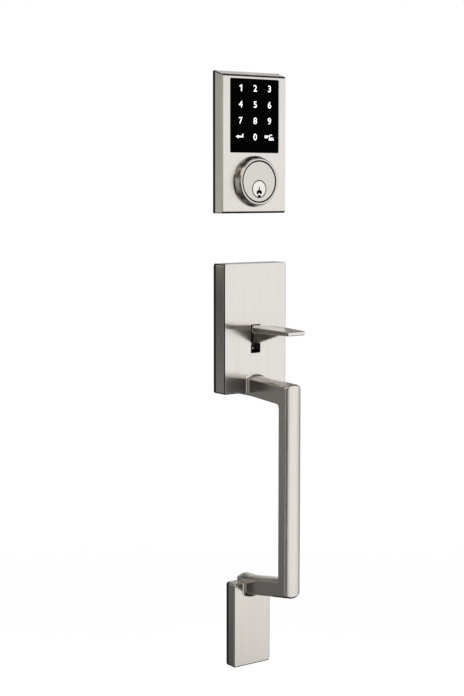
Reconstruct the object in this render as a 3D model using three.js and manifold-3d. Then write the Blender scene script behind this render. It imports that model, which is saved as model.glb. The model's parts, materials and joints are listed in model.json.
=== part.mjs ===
// Keypad deadbolt and matching pull handle, the outside half of a front-door entry set.
// Millimetres. X runs to the right as seen from outside, Y runs into the door, +Z is up.
// The door's outer face is the plane y = 0. The origin is the centre of the handle's upper
// plate on that face, so everything seen from outside has a negative y.
import * as THREE from 'three';
import { mergeVertices } from 'three/addons/utils/BufferGeometryUtils.js';
import Module from 'manifold-3d';

const wasm = await Module();
wasm.setup();

// ---------------------------------------------------------------- driving dimensions

// Door preparation: two cross bores, one over the other.
const boreSpacing = 139.7;
const latchBoreZ = -13.1;
const deadboltZ = latchBoreZ + boreSpacing;

// Fits.
const seatGap = 0.3;        // between two pieces that rest on each other
const slipGap = 0.2;        // pin or shank in its hole, lens in its pocket
const runGap = 0.15;        // plug, pins and tailpiece in their bores

// Shells, plates and gaskets shared by the three units.
const sideWall = 2.2;
const plateThickness = 1.5;
const gasketThickness = 1.0;
const gasketInset = 0.1;
const shellBackY = -(gasketThickness + seatGap);

// Keypad unit.
const keypadWidth = 68.5;
const keypadBelowBore = 27.2;
const keypadAboveBore = 90.8;
const keypadBottomZ = deadboltZ - keypadBelowBore;
const keypadTopZ = deadboltZ + keypadAboveBore;
const keypadDepth = 14.0;
const keypadTopDraft = 3.3;     // the top slopes down to the front and sheds rain
const keypadFrontWall = 3.0;
const keypadCornerR = 2.2;
const keypadEdge = 0.9;

// Plate screws, countersunk flush with the door face.
const plateScrewR = 1.3;
const plateScrewHeadR = 2.8;
const plateScrewLength = 8.0;
const plateBossR = 3.0;
const keypadPlateScrewInset = 5.85;
const keypadPlateScrewDrop = 9.6;
const keypadPlateScrewX = keypadWidth / 2 - keypadPlateScrewInset;
const keypadPlateScrewZ = keypadTopZ - keypadPlateScrewDrop;

// Boss inside the keypad that the cylinder's nut clamps.
const cylinderBossR = 19.0;
const cylinderBossBackY = -6.0;

// Touch lens and what lies behind it.
const lensWidth = 51.8;
const lensHeight = 62.4;
const lensTopFrame = 3.6;       // housing face above the lens
const lensTopZ = keypadTopZ - lensTopFrame;
const lensZ = lensTopZ - lensHeight / 2;
const lensThickness = 1.6;
const lensRecess = 0.2;
const lensLedge = 3.0;
const lensCornerR = 0.8;
const legendPitchZ = 13.8;
const legendColumns = 3;
const legendRows = 4;
const legendTopInset = 7.7;
const legendTopZ = lensTopZ - legendTopInset;
const boardThickness = 1.6;
const boardSideGap = 1.05;
const boardCylinderGap = 6.35;
const boardBossClear = 4.85;    // board's shoulder below the plate screw's boss
const boardNeckClear = 0.4;
const boardTopInset = 0.55;
const boardHalfWidth = keypadWidth / 2 - sideWall - boardSideGap;
const boardNeckHalfWidth = keypadPlateScrewX - plateBossR - boardNeckClear;
const boardBottomZ = deadboltZ + cylinderBossR + boardCylinderGap;
const boardShoulderZ = keypadPlateScrewZ - plateBossR - boardBossClear;
const boardTopZ = lensTopZ - boardTopInset;
const boardBossInset = 2.6;
const boardBossRise = 8.4;
const boardBossDrop = 7.6;
const boardBossX = boardHalfWidth - boardBossInset;
const boardBossZ = [boardBottomZ + boardBossRise, boardShoulderZ - boardBossDrop];
const boardBossR = 2.2;
const boardScrewR = 0.9;
const boardScrewHeadR = 1.9;
const boardScrewHeadH = 1.0;
const boardScrewBite = 2.4;
const baffleThickness = 1.6;
const baffleSideGap = 2.2;
const baffleTopInset = 1.5;
const baffleFootInset = 1.15;
const baffleWall = 3.2;
const baffleRim = 2.5;          // beside the outer columns of wells
const baffleHalfWidth = boardBossX - boardBossR - baffleSideGap;
const legendPitchX = (baffleHalfWidth - baffleRim + baffleWall / 2) / (legendColumns / 2);
const baffleTopZ = lensTopZ - baffleTopInset;
const baffleBottomZ = boardBottomZ + baffleFootInset;
const socketWidth = 13.0;
const socketHeight = 5.0;
const socketDepth = 4.0;
const socketWall = 0.8;
const socketRise = 5.0;         // socket centre above the board's bottom edge

// Lock cylinder.
const collarBaseR = 22.0;
const collarRimR = 20.2;
const collarEdge = 0.7;
const collarHeight = 6.5;
const collarLipHeight = 2.6;
const cylinderHeadR = 17.0;
const cylinderHeadDrop = 0.2;   // head face behind the collar's rim
const cylinderGroove = 0.7;     // open ring between the head and the collar's rim
const cylinderBodyR = 15.5;
const cylinderTailY = 15.3;
const cylinderNutR = 19.3;
const cylinderNutWidth = 2.3;
const plugDrop = 6.4;           // plug axis below the cylinder's own axis
const plugHeadR = 6.9;
const plugHeadH = 1.6;
const plugR = 6.35;
const plugNeckR = 4.0;
const plugNeckLength = 1.4;
const plugEndR = 5.3;
const plugEndLength = 2.1;
const keywayWidth = 2.0;
const keywayTop = 2.4;
const keywayBottom = -5.0;
const keywayWardWidth = 5.0;
const keywayWardTop = -0.9;
const keywayWardBottom = -3.7;
const keywayEndY = 8.0;
const clipThickness = 1.0;
const clipOuterR = 7.6;
const clipMouth = 5.0;
const tailpieceWidth = 6.3;
const tailpieceThickness = 1.4;
const tailpieceEndY = 42.0;
const tailpieceSeat = 1.6;

// Pin stack: one chamber for each entry of keyPinLengths, front to back.
const chamberR = 1.45;
const firstChamberY = -12.0;
const chamberPitch = 4.0;
const keyPinLengths = [6.2, 5.2, 6.8, 5.6, 6.4];
const driverLength = 5.0;
const springWireR = 0.2;
const springTurns = 4;
const chamberCapThickness = 1.0;
const chamberCapHalfWidth = 1.8;
const chamberTopZ = deadboltZ + 13.7;

// Through-bolt posts of the keypad.
const keypadPostX = 21.0;
const keypadPostR = 3.2;
const keypadPostEndY = 13.0;
const postStemR = 2.2;
const postHeadR = 3.4;
const postHeadH = 1.2;
const postThreadR = 1.8;
const postThreadDepth = 9.0;
const cableWindowWidth = 15.0;
const cableWindowGap = 1.8;     // web of the back plate under the window
const cableWindowBottomZ = deadboltZ + cylinderBodyR + seatGap + cableWindowGap;
const cableWindowHeight = 8.0;

// Handle: upper plate.
const upperWidth = 67.5;
const upperHeight = 113.0;
const upperBottomZ = -upperHeight / 2;
const upperDepth = 15.8;
const upperFrontWall = 2.0;
const shellCornerR = 2.2;
const shellEdge = 0.7;
const upperPostX = 19.0;
const upperPostR = 4.0;
const upperPostEndY = 13.0;
const upperBossR = 5.5;
const upperBossBackY = -5.3;
const upperStemLength = 5.0;

// Thumb lever and its slot.
const leverHalfWidth = 4.3;     // neck that passes through the plate
const leverShoulderHalfWidth = 12.6;
const leverTipHalfWidth = 9.75;
const leverNeckLength = 1.6;
const leverFlareLength = 10.6;
const leverShoulderR = 4.0;
const leverTipY = -73.0;
const leverTopZ = 2.6;
const leverTipTopZ = 1.0;
const leverRootThickness = 5.6;
const leverTipThickness = 3.5;
const leverCornerR = 2.0;
const webHalfWidth = 3.4;
const webBottomZ = -14.6;
const leverHubFrontY = -13.2;
const webEndY = -56.0;
const leverBackY = -8.8;
const slotSideGap = 0.6;
const slotTopGap = 0.4;
const slotHang = 7.1;           // room below the web, for the press
const slotTopZ = leverTopZ + slotTopGap;
const slotBottomZ = webBottomZ - slotHang;
const pivotY = -11.3;
const pivotZ = -8.0;
const pinR = 1.5;
const earThickness = 2.5;
const earHalfHeight = 4.0;
const earDepth = 4.5;
const earSideGap = 0.9;
const springRoom = 3.4;         // extra room for the return spring on the left
const returnWireR = 0.4;
const returnCoilR = 2.45;
const returnTurns = 3;
const returnLegLength = 9.0;

// Latch spindle and its hub.
const hubJournalR = 4.8;
const hubEndY = 4.5;
const hubClipRim = 1.6;
const hubArmFrontY = 0.5;
const hubArmReach = 9.6;
const hubArmTop = 2.4;
const hubArmBottom = -3.1;
const hubStubR = 3.4;
const hubCapR = 4.0;
const hubCapThickness = 0.6;
const spindleR = 3.6;
const spindleEndY = 41.0;
const spindleSeatY = 1.0;

// Tail of the lever: a finger that stands just under the hub's arm.
const tailFrontY = -10.0;
const tailBackY = -7.0;
const tailEarGap = 0.4;
const tailThickness = 2.6;
const tailTopZ = pivotZ - earHalfHeight - tailEarGap;
const fingerInnerX = 7.4;
const fingerOuterX = 9.2;
const fingerHeight = 3.0;
const fingerEndY = 4.5;
const fingerTopZ = latchBoreZ + hubArmBottom - seatGap;
const leverWindowGap = 0.5;     // around the finger in the back plate
const fingerTravel = 6.0;       // room above the finger for a full press

// Pull grip: flat sides, crowned faces, two arms that close in towards the bar.
const gripHalfWidth = 8.75;
const gripCrown = 2.8;
const gripStations = 10;
const barFrontY = -67.9;
const barThickness = 7.8;
const barBackY = barFrontY + barThickness;
const upperArmHang = 1.1;       // arm's underside below the upper plate's edge
const upperArmHeight = 13.2;
const upperArmTopFall = 0.0435;
const upperArmBottomFall = 0.0785;
const upperArmBottomRoot = upperBottomZ - upperArmHang;
const upperArmTopRoot = upperArmBottomRoot + upperArmHeight;
const plateSpan = 170.0;        // from the upper plate's bottom edge to the lower plate's top
const lowerTopZ = upperBottomZ - plateSpan;
const lowerArmStand = 2.9;      // arm's top above the lower plate's edge
const lowerArmHeight = 11.9;
const lowerArmTopRise = 0.158;
const lowerArmBottomRise = 0.155;
const lowerArmTopRoot = lowerTopZ + lowerArmStand;
const lowerArmBottomRoot = lowerArmTopRoot - lowerArmHeight;
const gripInnerTopR = 4.0;
const gripInnerLowR = 1.6;
const gripOuterR = 2.2;
const gripHeelY = -0.6;
const gripScrewR = 2.4;
const gripScrewHeadR = 3.9;
const gripScrewHeadH = 2.8;
const gripScrewBite = 10.0;
const gripPadThickness = 4.8;
const upperGripScrewX = 4.3;
const upperGripScrewRise = 6.9;
const upperGripScrewZ = upperBottomZ + upperGripScrewRise;
const gripPadInset = 1.0;       // seat pad behind each foot, in from the plate's edge
const gripPadMargin = 0.8;      // seat pad beyond the screw heads

// Handle: lower plate.
const lowerWidth = 40.4;
const lowerHeight = 76.0;
const lowerBottomZ = lowerTopZ - lowerHeight;
const lowerDepth = 11.5;
const lowerFrontWall = 2.0;
const lowerGripScrewDrop = 6.2;
const lowerGripScrewZ = lowerTopZ - lowerGripScrewDrop;
const lowerPadThickness = 3.0;
const lowerPostRise = 32.0;
const lowerPostZ = lowerBottomZ + lowerPostRise;
const lowerPostEndY = 18.0;

// Plate screws of the two handle plates.
const upperScrewDrop = 10.5;
const upperScrewRise = 22.5;
const upperPlateScrewZ = [upperHeight / 2 - upperScrewDrop, upperBottomZ + upperScrewRise];
const lowerPlateScrewRise = 12.0;
const lowerPlateScrewZ = lowerBottomZ + lowerPlateScrewRise;

// ---------------------------------------------------------------- shape helpers

const ROUND = 28;
const SMALL_ROUND = 16;
const PAST = 200;               // how far a cutter reaches when it runs right through

/** Signed volume of an indexed geometry, used to keep faces pointing out. */
function signedVolume(geometry) {
  const position = geometry.getAttribute('position');
  const index = geometry.getIndex();
  const [a, b, c] = [new THREE.Vector3(), new THREE.Vector3(), new THREE.Vector3()];
  let total = 0;
  for (let i = 0; i < index.count; i += 3) {
    a.fromBufferAttribute(position, index.getX(i));
    b.fromBufferAttribute(position, index.getX(i + 1));
    c.fromBufferAttribute(position, index.getX(i + 2));
    total += a.dot(b.cross(c)) / 6;
  }
  return total;
}

/** Turns a three.js geometry into a manifold solid with its faces pointing out. */
function solid(source) {
  const plain = source.clone();
  plain.deleteAttribute('normal');
  plain.deleteAttribute('uv');
  const merged = mergeVertices(plain, 1e-4);
  const triVerts = new Uint32Array(merged.getIndex().array);
  if (signedVolume(merged) < 0) {
    for (let i = 0; i < triVerts.length; i += 3) {
      [triVerts[i + 1], triVerts[i + 2]] = [triVerts[i + 2], triVerts[i + 1]];
    }
  }
  const vertProperties = new Float32Array(merged.getAttribute('position').array);
  return new wasm.Manifold(new wasm.Mesh({ numProp: 3, vertProperties, triVerts }));
}

/** Turns a manifold solid back into a three.js geometry. */
function geometryOf(body) {
  const mesh = body.getMesh();
  const geometry = new THREE.BufferGeometry();
  geometry.setAttribute('position', new THREE.BufferAttribute(mesh.vertProperties, 3));
  geometry.setIndex(new THREE.BufferAttribute(mesh.triVerts, 1));
  geometry.computeVertexNormals();
  return geometry;
}

/** Box between two corners. */
function block(x0, x1, y0, y1, z0, z1) {
  const geometry = new THREE.BoxGeometry(x1 - x0, y1 - y0, z1 - z0);
  geometry.translate((x0 + x1) / 2, (y0 + y1) / 2, (z0 + z1) / 2);
  return solid(geometry);
}

/** Round rod along Y. */
function rodY(radius, y0, y1, x, z, sides = ROUND) {
  const geometry = new THREE.CylinderGeometry(radius, radius, y1 - y0, sides);
  geometry.translate(x, (y0 + y1) / 2, z);
  return solid(geometry);
}

/** Round rod along X. */
function rodX(radius, x0, x1, y, z, sides = ROUND) {
  const geometry = new THREE.CylinderGeometry(radius, radius, x1 - x0, sides);
  geometry.rotateZ(Math.PI / 2);
  geometry.translate((x0 + x1) / 2, y, z);
  return solid(geometry);
}

/** Round rod along Z; the bottom radius may differ from the top one. */
function rodZ(radius, z0, z1, x, y, sides = SMALL_ROUND, bottomRadius = radius) {
  const geometry = new THREE.CylinderGeometry(radius, bottomRadius, z1 - z0, sides);
  geometry.rotateX(Math.PI / 2);
  geometry.translate(x, y, (z0 + z1) / 2);
  return solid(geometry);
}

/** Turned piece about an axis along Y through (x, z); the profile is a list of [radius, y]. */
function turned(profile, x, z, sides = ROUND) {
  const points = profile.map(([radius, y]) => new THREE.Vector2(radius, y));
  const geometry = new THREE.LatheGeometry(points, sides);
  geometry.translate(x, 0, z);
  return solid(geometry);
}

/** Plate: an outline drawn in X and Z, from y0 to y1. */
function plate(shape, y0, y1) {
  const geometry = new THREE.ExtrudeGeometry(shape, { depth: y1 - y0, bevelEnabled: false, curveSegments: 3 });
  geometry.rotateX(Math.PI / 2);
  geometry.translate(0, y1, 0);
  return solid(geometry);
}

/** Prism: an outline drawn in Y and Z, from x0 to x1. */
function prismX(points, x0, x1) {
  const shape = new THREE.Shape(points.map(([y, z]) => new THREE.Vector2(y, z)));
  const geometry = new THREE.ExtrudeGeometry(shape, { depth: x1 - x0, bevelEnabled: false });
  geometry.applyMatrix4(new THREE.Matrix4().set(0, 0, 1, x0, 1, 0, 0, 0, 0, 1, 0, 0, 0, 0, 0, 1));
  return solid(geometry);
}

/** Prism: an outline drawn in X and Y, from z0 to z1. */
function prismZ(shape, z0, z1) {
  const geometry = new THREE.ExtrudeGeometry(shape, { depth: z1 - z0, bevelEnabled: false, curveSegments: 4 });
  geometry.translate(0, 0, z0);
  return solid(geometry);
}

/** Rectangle with round corners, drawn about its own middle or between two heights. */
function roundedRectangle(halfWidth, bottom, top, radius) {
  const shape = new THREE.Shape();
  shape.moveTo(-halfWidth + radius, bottom);
  shape.lineTo(halfWidth - radius, bottom);
  shape.absarc(halfWidth - radius, bottom + radius, radius, -Math.PI / 2, 0);
  shape.lineTo(halfWidth, top - radius);
  shape.absarc(halfWidth - radius, top - radius, radius, 0, Math.PI / 2);
  shape.lineTo(-halfWidth + radius, top);
  shape.absarc(-halfWidth + radius, top - radius, radius, Math.PI / 2, Math.PI);
  shape.lineTo(-halfWidth, bottom + radius);
  shape.absarc(-halfWidth + radius, bottom + radius, radius, Math.PI, 1.5 * Math.PI);
  return shape;
}

/**
 * Skin through a row of outlines with equal point counts. Each section is
 * { outline, at }; place(u, v, at) gives the point in space.
 */
function loft(sections, place) {
  const count = sections[0].outline.length;
  const positions = [];
  const index = [];
  for (const { outline, at } of sections) {
    for (const point of outline) positions.push(...place(point.x, point.y, at));
  }
  for (let s = 0; s < sections.length - 1; s += 1) {
    for (let i = 0; i < count; i += 1) {
      const j = (i + 1) % count;
      const [a, b] = [s * count + i, s * count + j];
      index.push(a, b, b + count, a, b + count, a + count);
    }
  }
  const last = (sections.length - 1) * count;
  for (const [a, b, c] of THREE.ShapeUtils.triangulateShape(sections[0].outline, [])) {
    index.push(a, c, b);
  }
  for (const [a, b, c] of THREE.ShapeUtils.triangulateShape(sections.at(-1).outline, [])) {
    index.push(last + a, last + b, last + c);
  }
  const geometry = new THREE.BufferGeometry();
  geometry.setAttribute('position', new THREE.Float32BufferAttribute(positions, 3));
  geometry.setIndex(index);
  return solid(geometry);
}

/** Wire of a given radius along a list of points. */
function wire(points, radius, steps, sides) {
  const ring = new THREE.Shape();
  ring.absarc(0, 0, radius, 0, 2 * Math.PI);
  const path = new THREE.CatmullRomCurve3(points);
  const section = new THREE.Shape(ring.getPoints(sides).slice(0, sides));
  return solid(new THREE.ExtrudeGeometry(section, { steps, extrudePath: path, bevelEnabled: false }));
}

/** Arc that rounds the corner at `corner` between two neighbours. */
function rounded(before, corner, after, radius, pieces = 4) {
  const toBefore = before.clone().sub(corner).normalize();
  const toAfter = after.clone().sub(corner).normalize();
  const half = Math.acos(THREE.MathUtils.clamp(toBefore.dot(toAfter), -1, 1)) / 2;
  const inward = toBefore.clone().add(toAfter).normalize();
  const centre = corner.clone().addScaledVector(inward, radius / Math.sin(half));
  const start = corner.clone().addScaledVector(toBefore, radius / Math.tan(half)).sub(centre);
  const end = corner.clone().addScaledVector(toAfter, radius / Math.tan(half)).sub(centre);
  const sweep = Math.atan2(start.x * end.y - start.y * end.x, start.dot(end));
  const points = [];
  for (let i = 0; i <= pieces; i += 1) {
    const angle = (sweep * i) / pieces;
    points.push(start.clone().rotateAround(new THREE.Vector2(), angle).add(centre));
  }
  return points;
}

/** Plain round flange with a mouth cut out on one side, as a retaining clip has. */
function retainingClip(innerR, outerR, y0, y1, x, z) {
  const ring = rodY(outerR, y0, y1, x, z).subtract(rodY(innerR, y0 - 1, y1 + 1, x, z));
  return ring.subtract(block(x - clipMouth / 2, x + clipMouth / 2, y0 - 1, y1 + 1, z - outerR - 1, z));
}

/** Countersunk screw with its head just below the door face; its cone is at 45 degrees. */
function countersunkScrew(x, z) {
  const headBack = -seatGap;
  return turned([
    [0, headBack], [plateScrewHeadR, headBack],
    [plateScrewR, headBack - (plateScrewHeadR - plateScrewR)],
    [plateScrewR, -plateScrewLength], [0, -plateScrewLength],
  ], x, z, SMALL_ROUND);
}

/** Countersunk hole that takes such a screw. */
function countersunkHole(x, z) {
  const mouthR = plateScrewHeadR + seatGap + slipGap;
  const over = plateThickness + 0.5;
  return turned([[0, 1], [mouthR + 1, 1], [mouthR - over, -over], [0, -over]], x, z, SMALL_ROUND);
}

/** Boss on a shell's front wall that a plate screw bites into. */
function plateBoss(x, z, frontY) {
  return rodY(plateBossR, frontY, -plateThickness - seatGap, x, z, SMALL_ROUND);
}

/** Hole in that boss. */
function plateBossHole(x, z) {
  return rodY(plateScrewR + slipGap, -plateScrewLength - 1, 0, x, z, SMALL_ROUND);
}

/** Open-backed shell with a chamfered front edge; `draft` raises the top's back edge. */
function shell(halfWidth, bottom, top, depth, frontWall, cornerR, edge, draft = 0) {
  const section = (inset, y, lean) => ({
    outline: roundedRectangle(halfWidth - inset, bottom + inset, top - inset + lean, cornerR)
      .getPoints(3).slice(0, -1),
    at: y,
  });
  const place = (x, z, y) => [x, y, z];
  const outside = loft([
    section(0, shellBackY, draft), section(0, -depth + edge, 0), section(edge, -depth, 0),
  ], place);
  const hollow = loft([
    section(sideWall, 1, draft), section(sideWall, -plateThickness - seatGap, draft),
    section(sideWall, -depth + frontWall, 0),
  ], place);
  return outside.subtract(hollow);
}

/** Flat gasket ring between a shell's rim and the door. */
function gasket(halfWidth, bottom, top, cornerR) {
  const ring = roundedRectangle(halfWidth - gasketInset, bottom + gasketInset, top - gasketInset, cornerR);
  ring.holes.push(roundedRectangle(halfWidth - sideWall, bottom + sideWall, top - sideWall, cornerR));
  return plate(ring, -gasketThickness, 0);
}

/** Steel plate that closes the back of a shell, flush with the door face. */
function backPlate(halfWidth, bottom, top, cornerR) {
  const inset = sideWall + seatGap;
  return plate(roundedRectangle(halfWidth - inset, bottom + inset, top - inset, cornerR), -plateThickness, 0);
}

// ---------------------------------------------------------------- keypad unit

const keypadFrontY = -keypadDepth;
const keypadInnerY = keypadFrontY + keypadFrontWall;
const keypadBackTopZ = keypadTopZ + keypadTopDraft;
const plugZ = deadboltZ - plugDrop;
const baffleFrontY = keypadInnerY + seatGap;
const boardFrontY = baffleFrontY + baffleThickness + seatGap;
const boardBackY = boardFrontY + boardThickness;
const boardBossBackY = boardFrontY - seatGap;
const collarBackY = keypadFrontY - seatGap;
const collarFrontY = collarBackY - collarHeight;
const cylinderFaceY = collarFrontY + cylinderHeadDrop;
const cylinderShoulderY = collarBackY - collarLipHeight - seatGap;
const cylinderHoleR = cylinderBodyR + seatGap;

/** Die-cast housing: lens pocket, cylinder hole and the bosses inside. */
function keypadHousing() {
  let body = shell(keypadWidth / 2, keypadBottomZ, keypadTopZ, keypadDepth, keypadFrontWall,
    keypadCornerR, keypadEdge, keypadTopDraft);
  body = body.add(rodY(cylinderBossR, keypadInnerY - 1, cylinderBossBackY, 0, deadboltZ));
  body = body.subtract(rodY(cylinderHoleR, keypadFrontY - 1, 1, 0, deadboltZ));
  const lensOpening = (inset, backY) => {
    const [w, h] = [lensWidth / 2 - inset, lensHeight / 2 - inset];
    return block(-w, w, keypadFrontY - 1, backY, lensZ - h, lensZ + h);
  };
  body = body.subtract(lensOpening(0, keypadFrontY + lensRecess + lensThickness + slipGap));
  body = body.subtract(lensOpening(lensLedge, 0));
  for (const side of [-1, 1]) {
    for (const z of boardBossZ) {
      const x = side * boardBossX;
      const holeY = boardBossBackY - boardScrewBite - 1;
      body = body.add(rodY(boardBossR, keypadInnerY - 1, boardBossBackY, x, z, SMALL_ROUND));
      body = body.subtract(rodY(boardScrewR + slipGap, holeY, 0, x, z, SMALL_ROUND));
    }
    body = body.add(plateBoss(side * keypadPlateScrewX, keypadPlateScrewZ, keypadInnerY - 1));
    body = body.subtract(plateBossHole(side * keypadPlateScrewX, keypadPlateScrewZ));
  }
  return body;
}

/** Glass touch lens, a little below the housing's face. */
function touchLens() {
  const [w, h] = [lensWidth / 2 - slipGap, lensHeight / 2 - slipGap];
  const front = keypadFrontY + lensRecess;
  return plate(roundedRectangle(w, lensZ - h, lensZ + h, lensCornerR), front, front + lensThickness);
}

/** White baffle with one light well behind each legend. */
function lightBaffle() {
  const w = baffleHalfWidth;
  const backY = baffleFrontY + baffleThickness;
  let body = block(-w, w, baffleFrontY, backY, baffleBottomZ, baffleTopZ);
  const [wellX, wellZ] = [(legendPitchX - baffleWall) / 2, (legendPitchZ - baffleWall) / 2];
  for (let row = 0; row < legendRows; row += 1) {
    for (let column = 0; column < legendColumns; column += 1) {
      const x = (column - (legendColumns - 1) / 2) * legendPitchX;
      const z = legendTopZ - row * legendPitchZ;
      body = body.subtract(block(x - wellX, x + wellX, keypadFrontY, 0, z - wellZ, z + wellZ));
    }
  }
  return body;
}

/** Touch board with ears for its four screws. */
function touchBoard() {
  const shape = new THREE.Shape([
    [-boardHalfWidth, boardBottomZ], [boardHalfWidth, boardBottomZ],
    [boardHalfWidth, boardShoulderZ], [boardNeckHalfWidth, boardShoulderZ],
    [boardNeckHalfWidth, boardTopZ], [-boardNeckHalfWidth, boardTopZ],
    [-boardNeckHalfWidth, boardShoulderZ], [-boardHalfWidth, boardShoulderZ],
  ].map(([x, z]) => new THREE.Vector2(x, z)));
  let board = plate(shape, boardFrontY, boardBackY);
  for (const side of [-1, 1]) {
    for (const z of boardBossZ) {
      board = board.subtract(rodY(boardScrewR + slipGap, -keypadDepth, 0, side * boardBossX, z, SMALL_ROUND));
    }
  }
  return board;
}

/** Pan-head screw that holds the touch board. */
function boardScrew(x, z) {
  const seat = boardBackY + seatGap;
  return turned([
    [0, seat + boardScrewHeadH], [boardScrewHeadR - 0.4, seat + boardScrewHeadH],
    [boardScrewHeadR, seat + 0.4], [boardScrewHeadR, seat], [boardScrewR, seat],
    [boardScrewR, boardBossBackY - boardScrewBite], [0, boardBossBackY - boardScrewBite],
  ], x, z, SMALL_ROUND);
}

/** Socket for the lead that goes through the door to the inside unit. */
function cableSocket() {
  const z = boardBottomZ + socketRise;
  const front = boardBackY + seatGap;
  const [w, h] = [socketWidth / 2, socketHeight / 2];
  const shellBody = block(-w, w, front, front + socketDepth, z - h, z + h);
  const mouth = block(-w + socketWall, w - socketWall, front + socketWall, front + socketDepth + 1,
    z - h + socketWall, z + h - socketWall);
  return shellBody.subtract(mouth);
}

/** Steel back plate of the keypad with its holes. */
function keypadBackPlate() {
  let body = backPlate(keypadWidth / 2, keypadBottomZ, keypadBackTopZ, keypadCornerR);
  body = body.subtract(rodY(cylinderHoleR, -keypadDepth, 1, 0, deadboltZ));
  const w = cableWindowWidth / 2;
  const windowTopZ = cableWindowBottomZ + cableWindowHeight;
  body = body.subtract(block(-w, w, -keypadDepth, 1, cableWindowBottomZ, windowTopZ));
  for (const side of [-1, 1]) {
    const postX = side * keypadPostX;
    body = body.subtract(rodY(postStemR + slipGap, -keypadDepth, 1, postX, deadboltZ, SMALL_ROUND));
    body = body.subtract(countersunkHole(side * keypadPlateScrewX, keypadPlateScrewZ));
  }
  return body;
}

/** Tapped post riveted through a back plate. */
function rivetedPost(x, z, radius, endY) {
  const head = -plateThickness - seatGap;
  return turned([
    [0, head - postHeadH], [postHeadR, head - postHeadH], [postHeadR, head], [postStemR, head],
    [postStemR, seatGap], [radius, seatGap], [radius, endY],
    [postThreadR, endY], [postThreadR, endY - postThreadDepth], [0, endY - postThreadDepth],
  ], x, z, SMALL_ROUND);
}

// ---------------------------------------------------------------- lock cylinder

const plugBoreR = plugR + runGap;
const plugShoulderY = cylinderFaceY + plugHeadH;
const plugNeckY = cylinderTailY + runGap;
const plugEndY = plugNeckY + plugNeckLength;
const keyPinTopZ = plugZ + plugR - 0.2;
const driverBottomZ = plugZ + plugBoreR + 0.1;
const pinR0 = chamberR - runGap;
const chamberYs = keyPinLengths.map((_, k) => firstChamberY + k * chamberPitch);

/** Guard ring around the cylinder, tapered and rounded over at its rim. */
function cylinderCollar() {
  const bore = cylinderHeadR + cylinderGroove;
  const lipY = collarBackY - collarLipHeight;
  return turned([
    [cylinderHoleR, collarBackY], [collarBaseR, collarBackY], [collarBaseR, collarBackY - 1.2],
    [collarRimR + 0.25, collarFrontY + 1.6], [collarRimR, collarFrontY + collarEdge],
    [collarRimR - collarEdge, collarFrontY], [bore, collarFrontY], [bore, lipY],
    [cylinderHoleR, lipY], [cylinderHoleR, collarBackY],
  ], 0, deadboltZ, 40);
}

/** Brass cylinder body with the plug bore, counterbore and pin chambers. */
function cylinderBody() {
  let body = turned([
    [0, cylinderFaceY], [cylinderHeadR - 0.3, cylinderFaceY], [cylinderHeadR, cylinderFaceY + 0.3],
    [cylinderHeadR, cylinderShoulderY], [cylinderBodyR, cylinderShoulderY],
    [cylinderBodyR, cylinderTailY], [0, cylinderTailY],
  ], 0, deadboltZ, 40);
  body = body.subtract(rodY(plugBoreR, -PAST, PAST, 0, plugZ));
  body = body.subtract(rodY(plugHeadR + slipGap, -PAST, plugShoulderY + slipGap, 0, plugZ));
  for (const y of chamberYs) {
    body = body.subtract(rodZ(chamberR, plugZ, chamberTopZ + 1, 0, y));
  }
  const w = chamberCapHalfWidth + slipGap;
  const [frontY, backY] = [chamberYs[0] - w, chamberYs.at(-1) + w];
  return body.subtract(block(-w, w, frontY, backY, chamberTopZ, deadboltZ + cylinderBodyR + 1));
}

/** Strip that closes the pin chambers. */
function chamberCap() {
  const w = chamberCapHalfWidth;
  const z = chamberTopZ + seatGap;
  return block(-w, w, chamberYs[0] - w, chamberYs.at(-1) + w, z, z + chamberCapThickness);
}

/** Ring nut that clamps the cylinder and its collar to the housing. */
function cylinderNut() {
  const y0 = cylinderBossBackY + seatGap;
  const ring = rodY(cylinderNutR, y0, y0 + cylinderNutWidth, 0, deadboltZ);
  let nut = ring.subtract(rodY(cylinderBodyR + runGap, y0 - 1, y0 + cylinderNutWidth + 1, 0, deadboltZ));
  for (const angle of [45, 135, 225, 315]) {
    const turn = THREE.MathUtils.degToRad(angle);
    const [x, z] = [cylinderNutR * Math.cos(turn), deadboltZ + cylinderNutR * Math.sin(turn)];
    nut = nut.subtract(rodY(1.6, y0 - 1, y0 + cylinderNutWidth + 1, x, z, SMALL_ROUND));
  }
  return nut;
}

/** Plug with its keyway, pin holes and the slot for the tailpiece. */
function plug() {
  let body = turned([
    [0, cylinderFaceY], [plugHeadR - 0.2, cylinderFaceY], [plugHeadR, cylinderFaceY + 0.2],
    [plugHeadR, plugShoulderY], [plugR, plugShoulderY], [plugR, plugNeckY],
    [plugNeckR, plugNeckY], [plugNeckR, plugEndY], [plugEndR, plugEndY],
    [plugEndR, plugEndY + plugEndLength], [0, plugEndY + plugEndLength],
  ], 0, plugZ);
  const [w, ward] = [keywayWidth / 2, keywayWardWidth / 2];
  body = body.subtract(block(-w, w, -PAST, keywayEndY, plugZ + keywayBottom, plugZ + keywayTop));
  body = body.subtract(block(-ward, ward, -PAST, keywayEndY,
    plugZ + keywayWardBottom, plugZ + keywayWardTop));
  for (const y of chamberYs) {
    body = body.subtract(rodZ(chamberR, plugZ, plugZ + plugR + 1, 0, y));
  }
  const [slotW, slotT] = [tailpieceWidth / 2 + runGap, tailpieceThickness / 2 + runGap];
  return body.subtract(block(-slotW, slotW, plugEndY + plugEndLength - tailpieceSeat - runGap, PAST,
    plugZ - slotT, plugZ + slotT));
}

/** Key pin with a coned tip that stands in the keyway. */
function keyPin(k) {
  const tip = 0.8;
  const bottom = keyPinTopZ - keyPinLengths[k];
  const shank = rodZ(pinR0, bottom + tip, keyPinTopZ, 0, chamberYs[k], 12);
  return shank.add(rodZ(pinR0, bottom, bottom + tip, 0, chamberYs[k], 12, 0.5));
}

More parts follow.
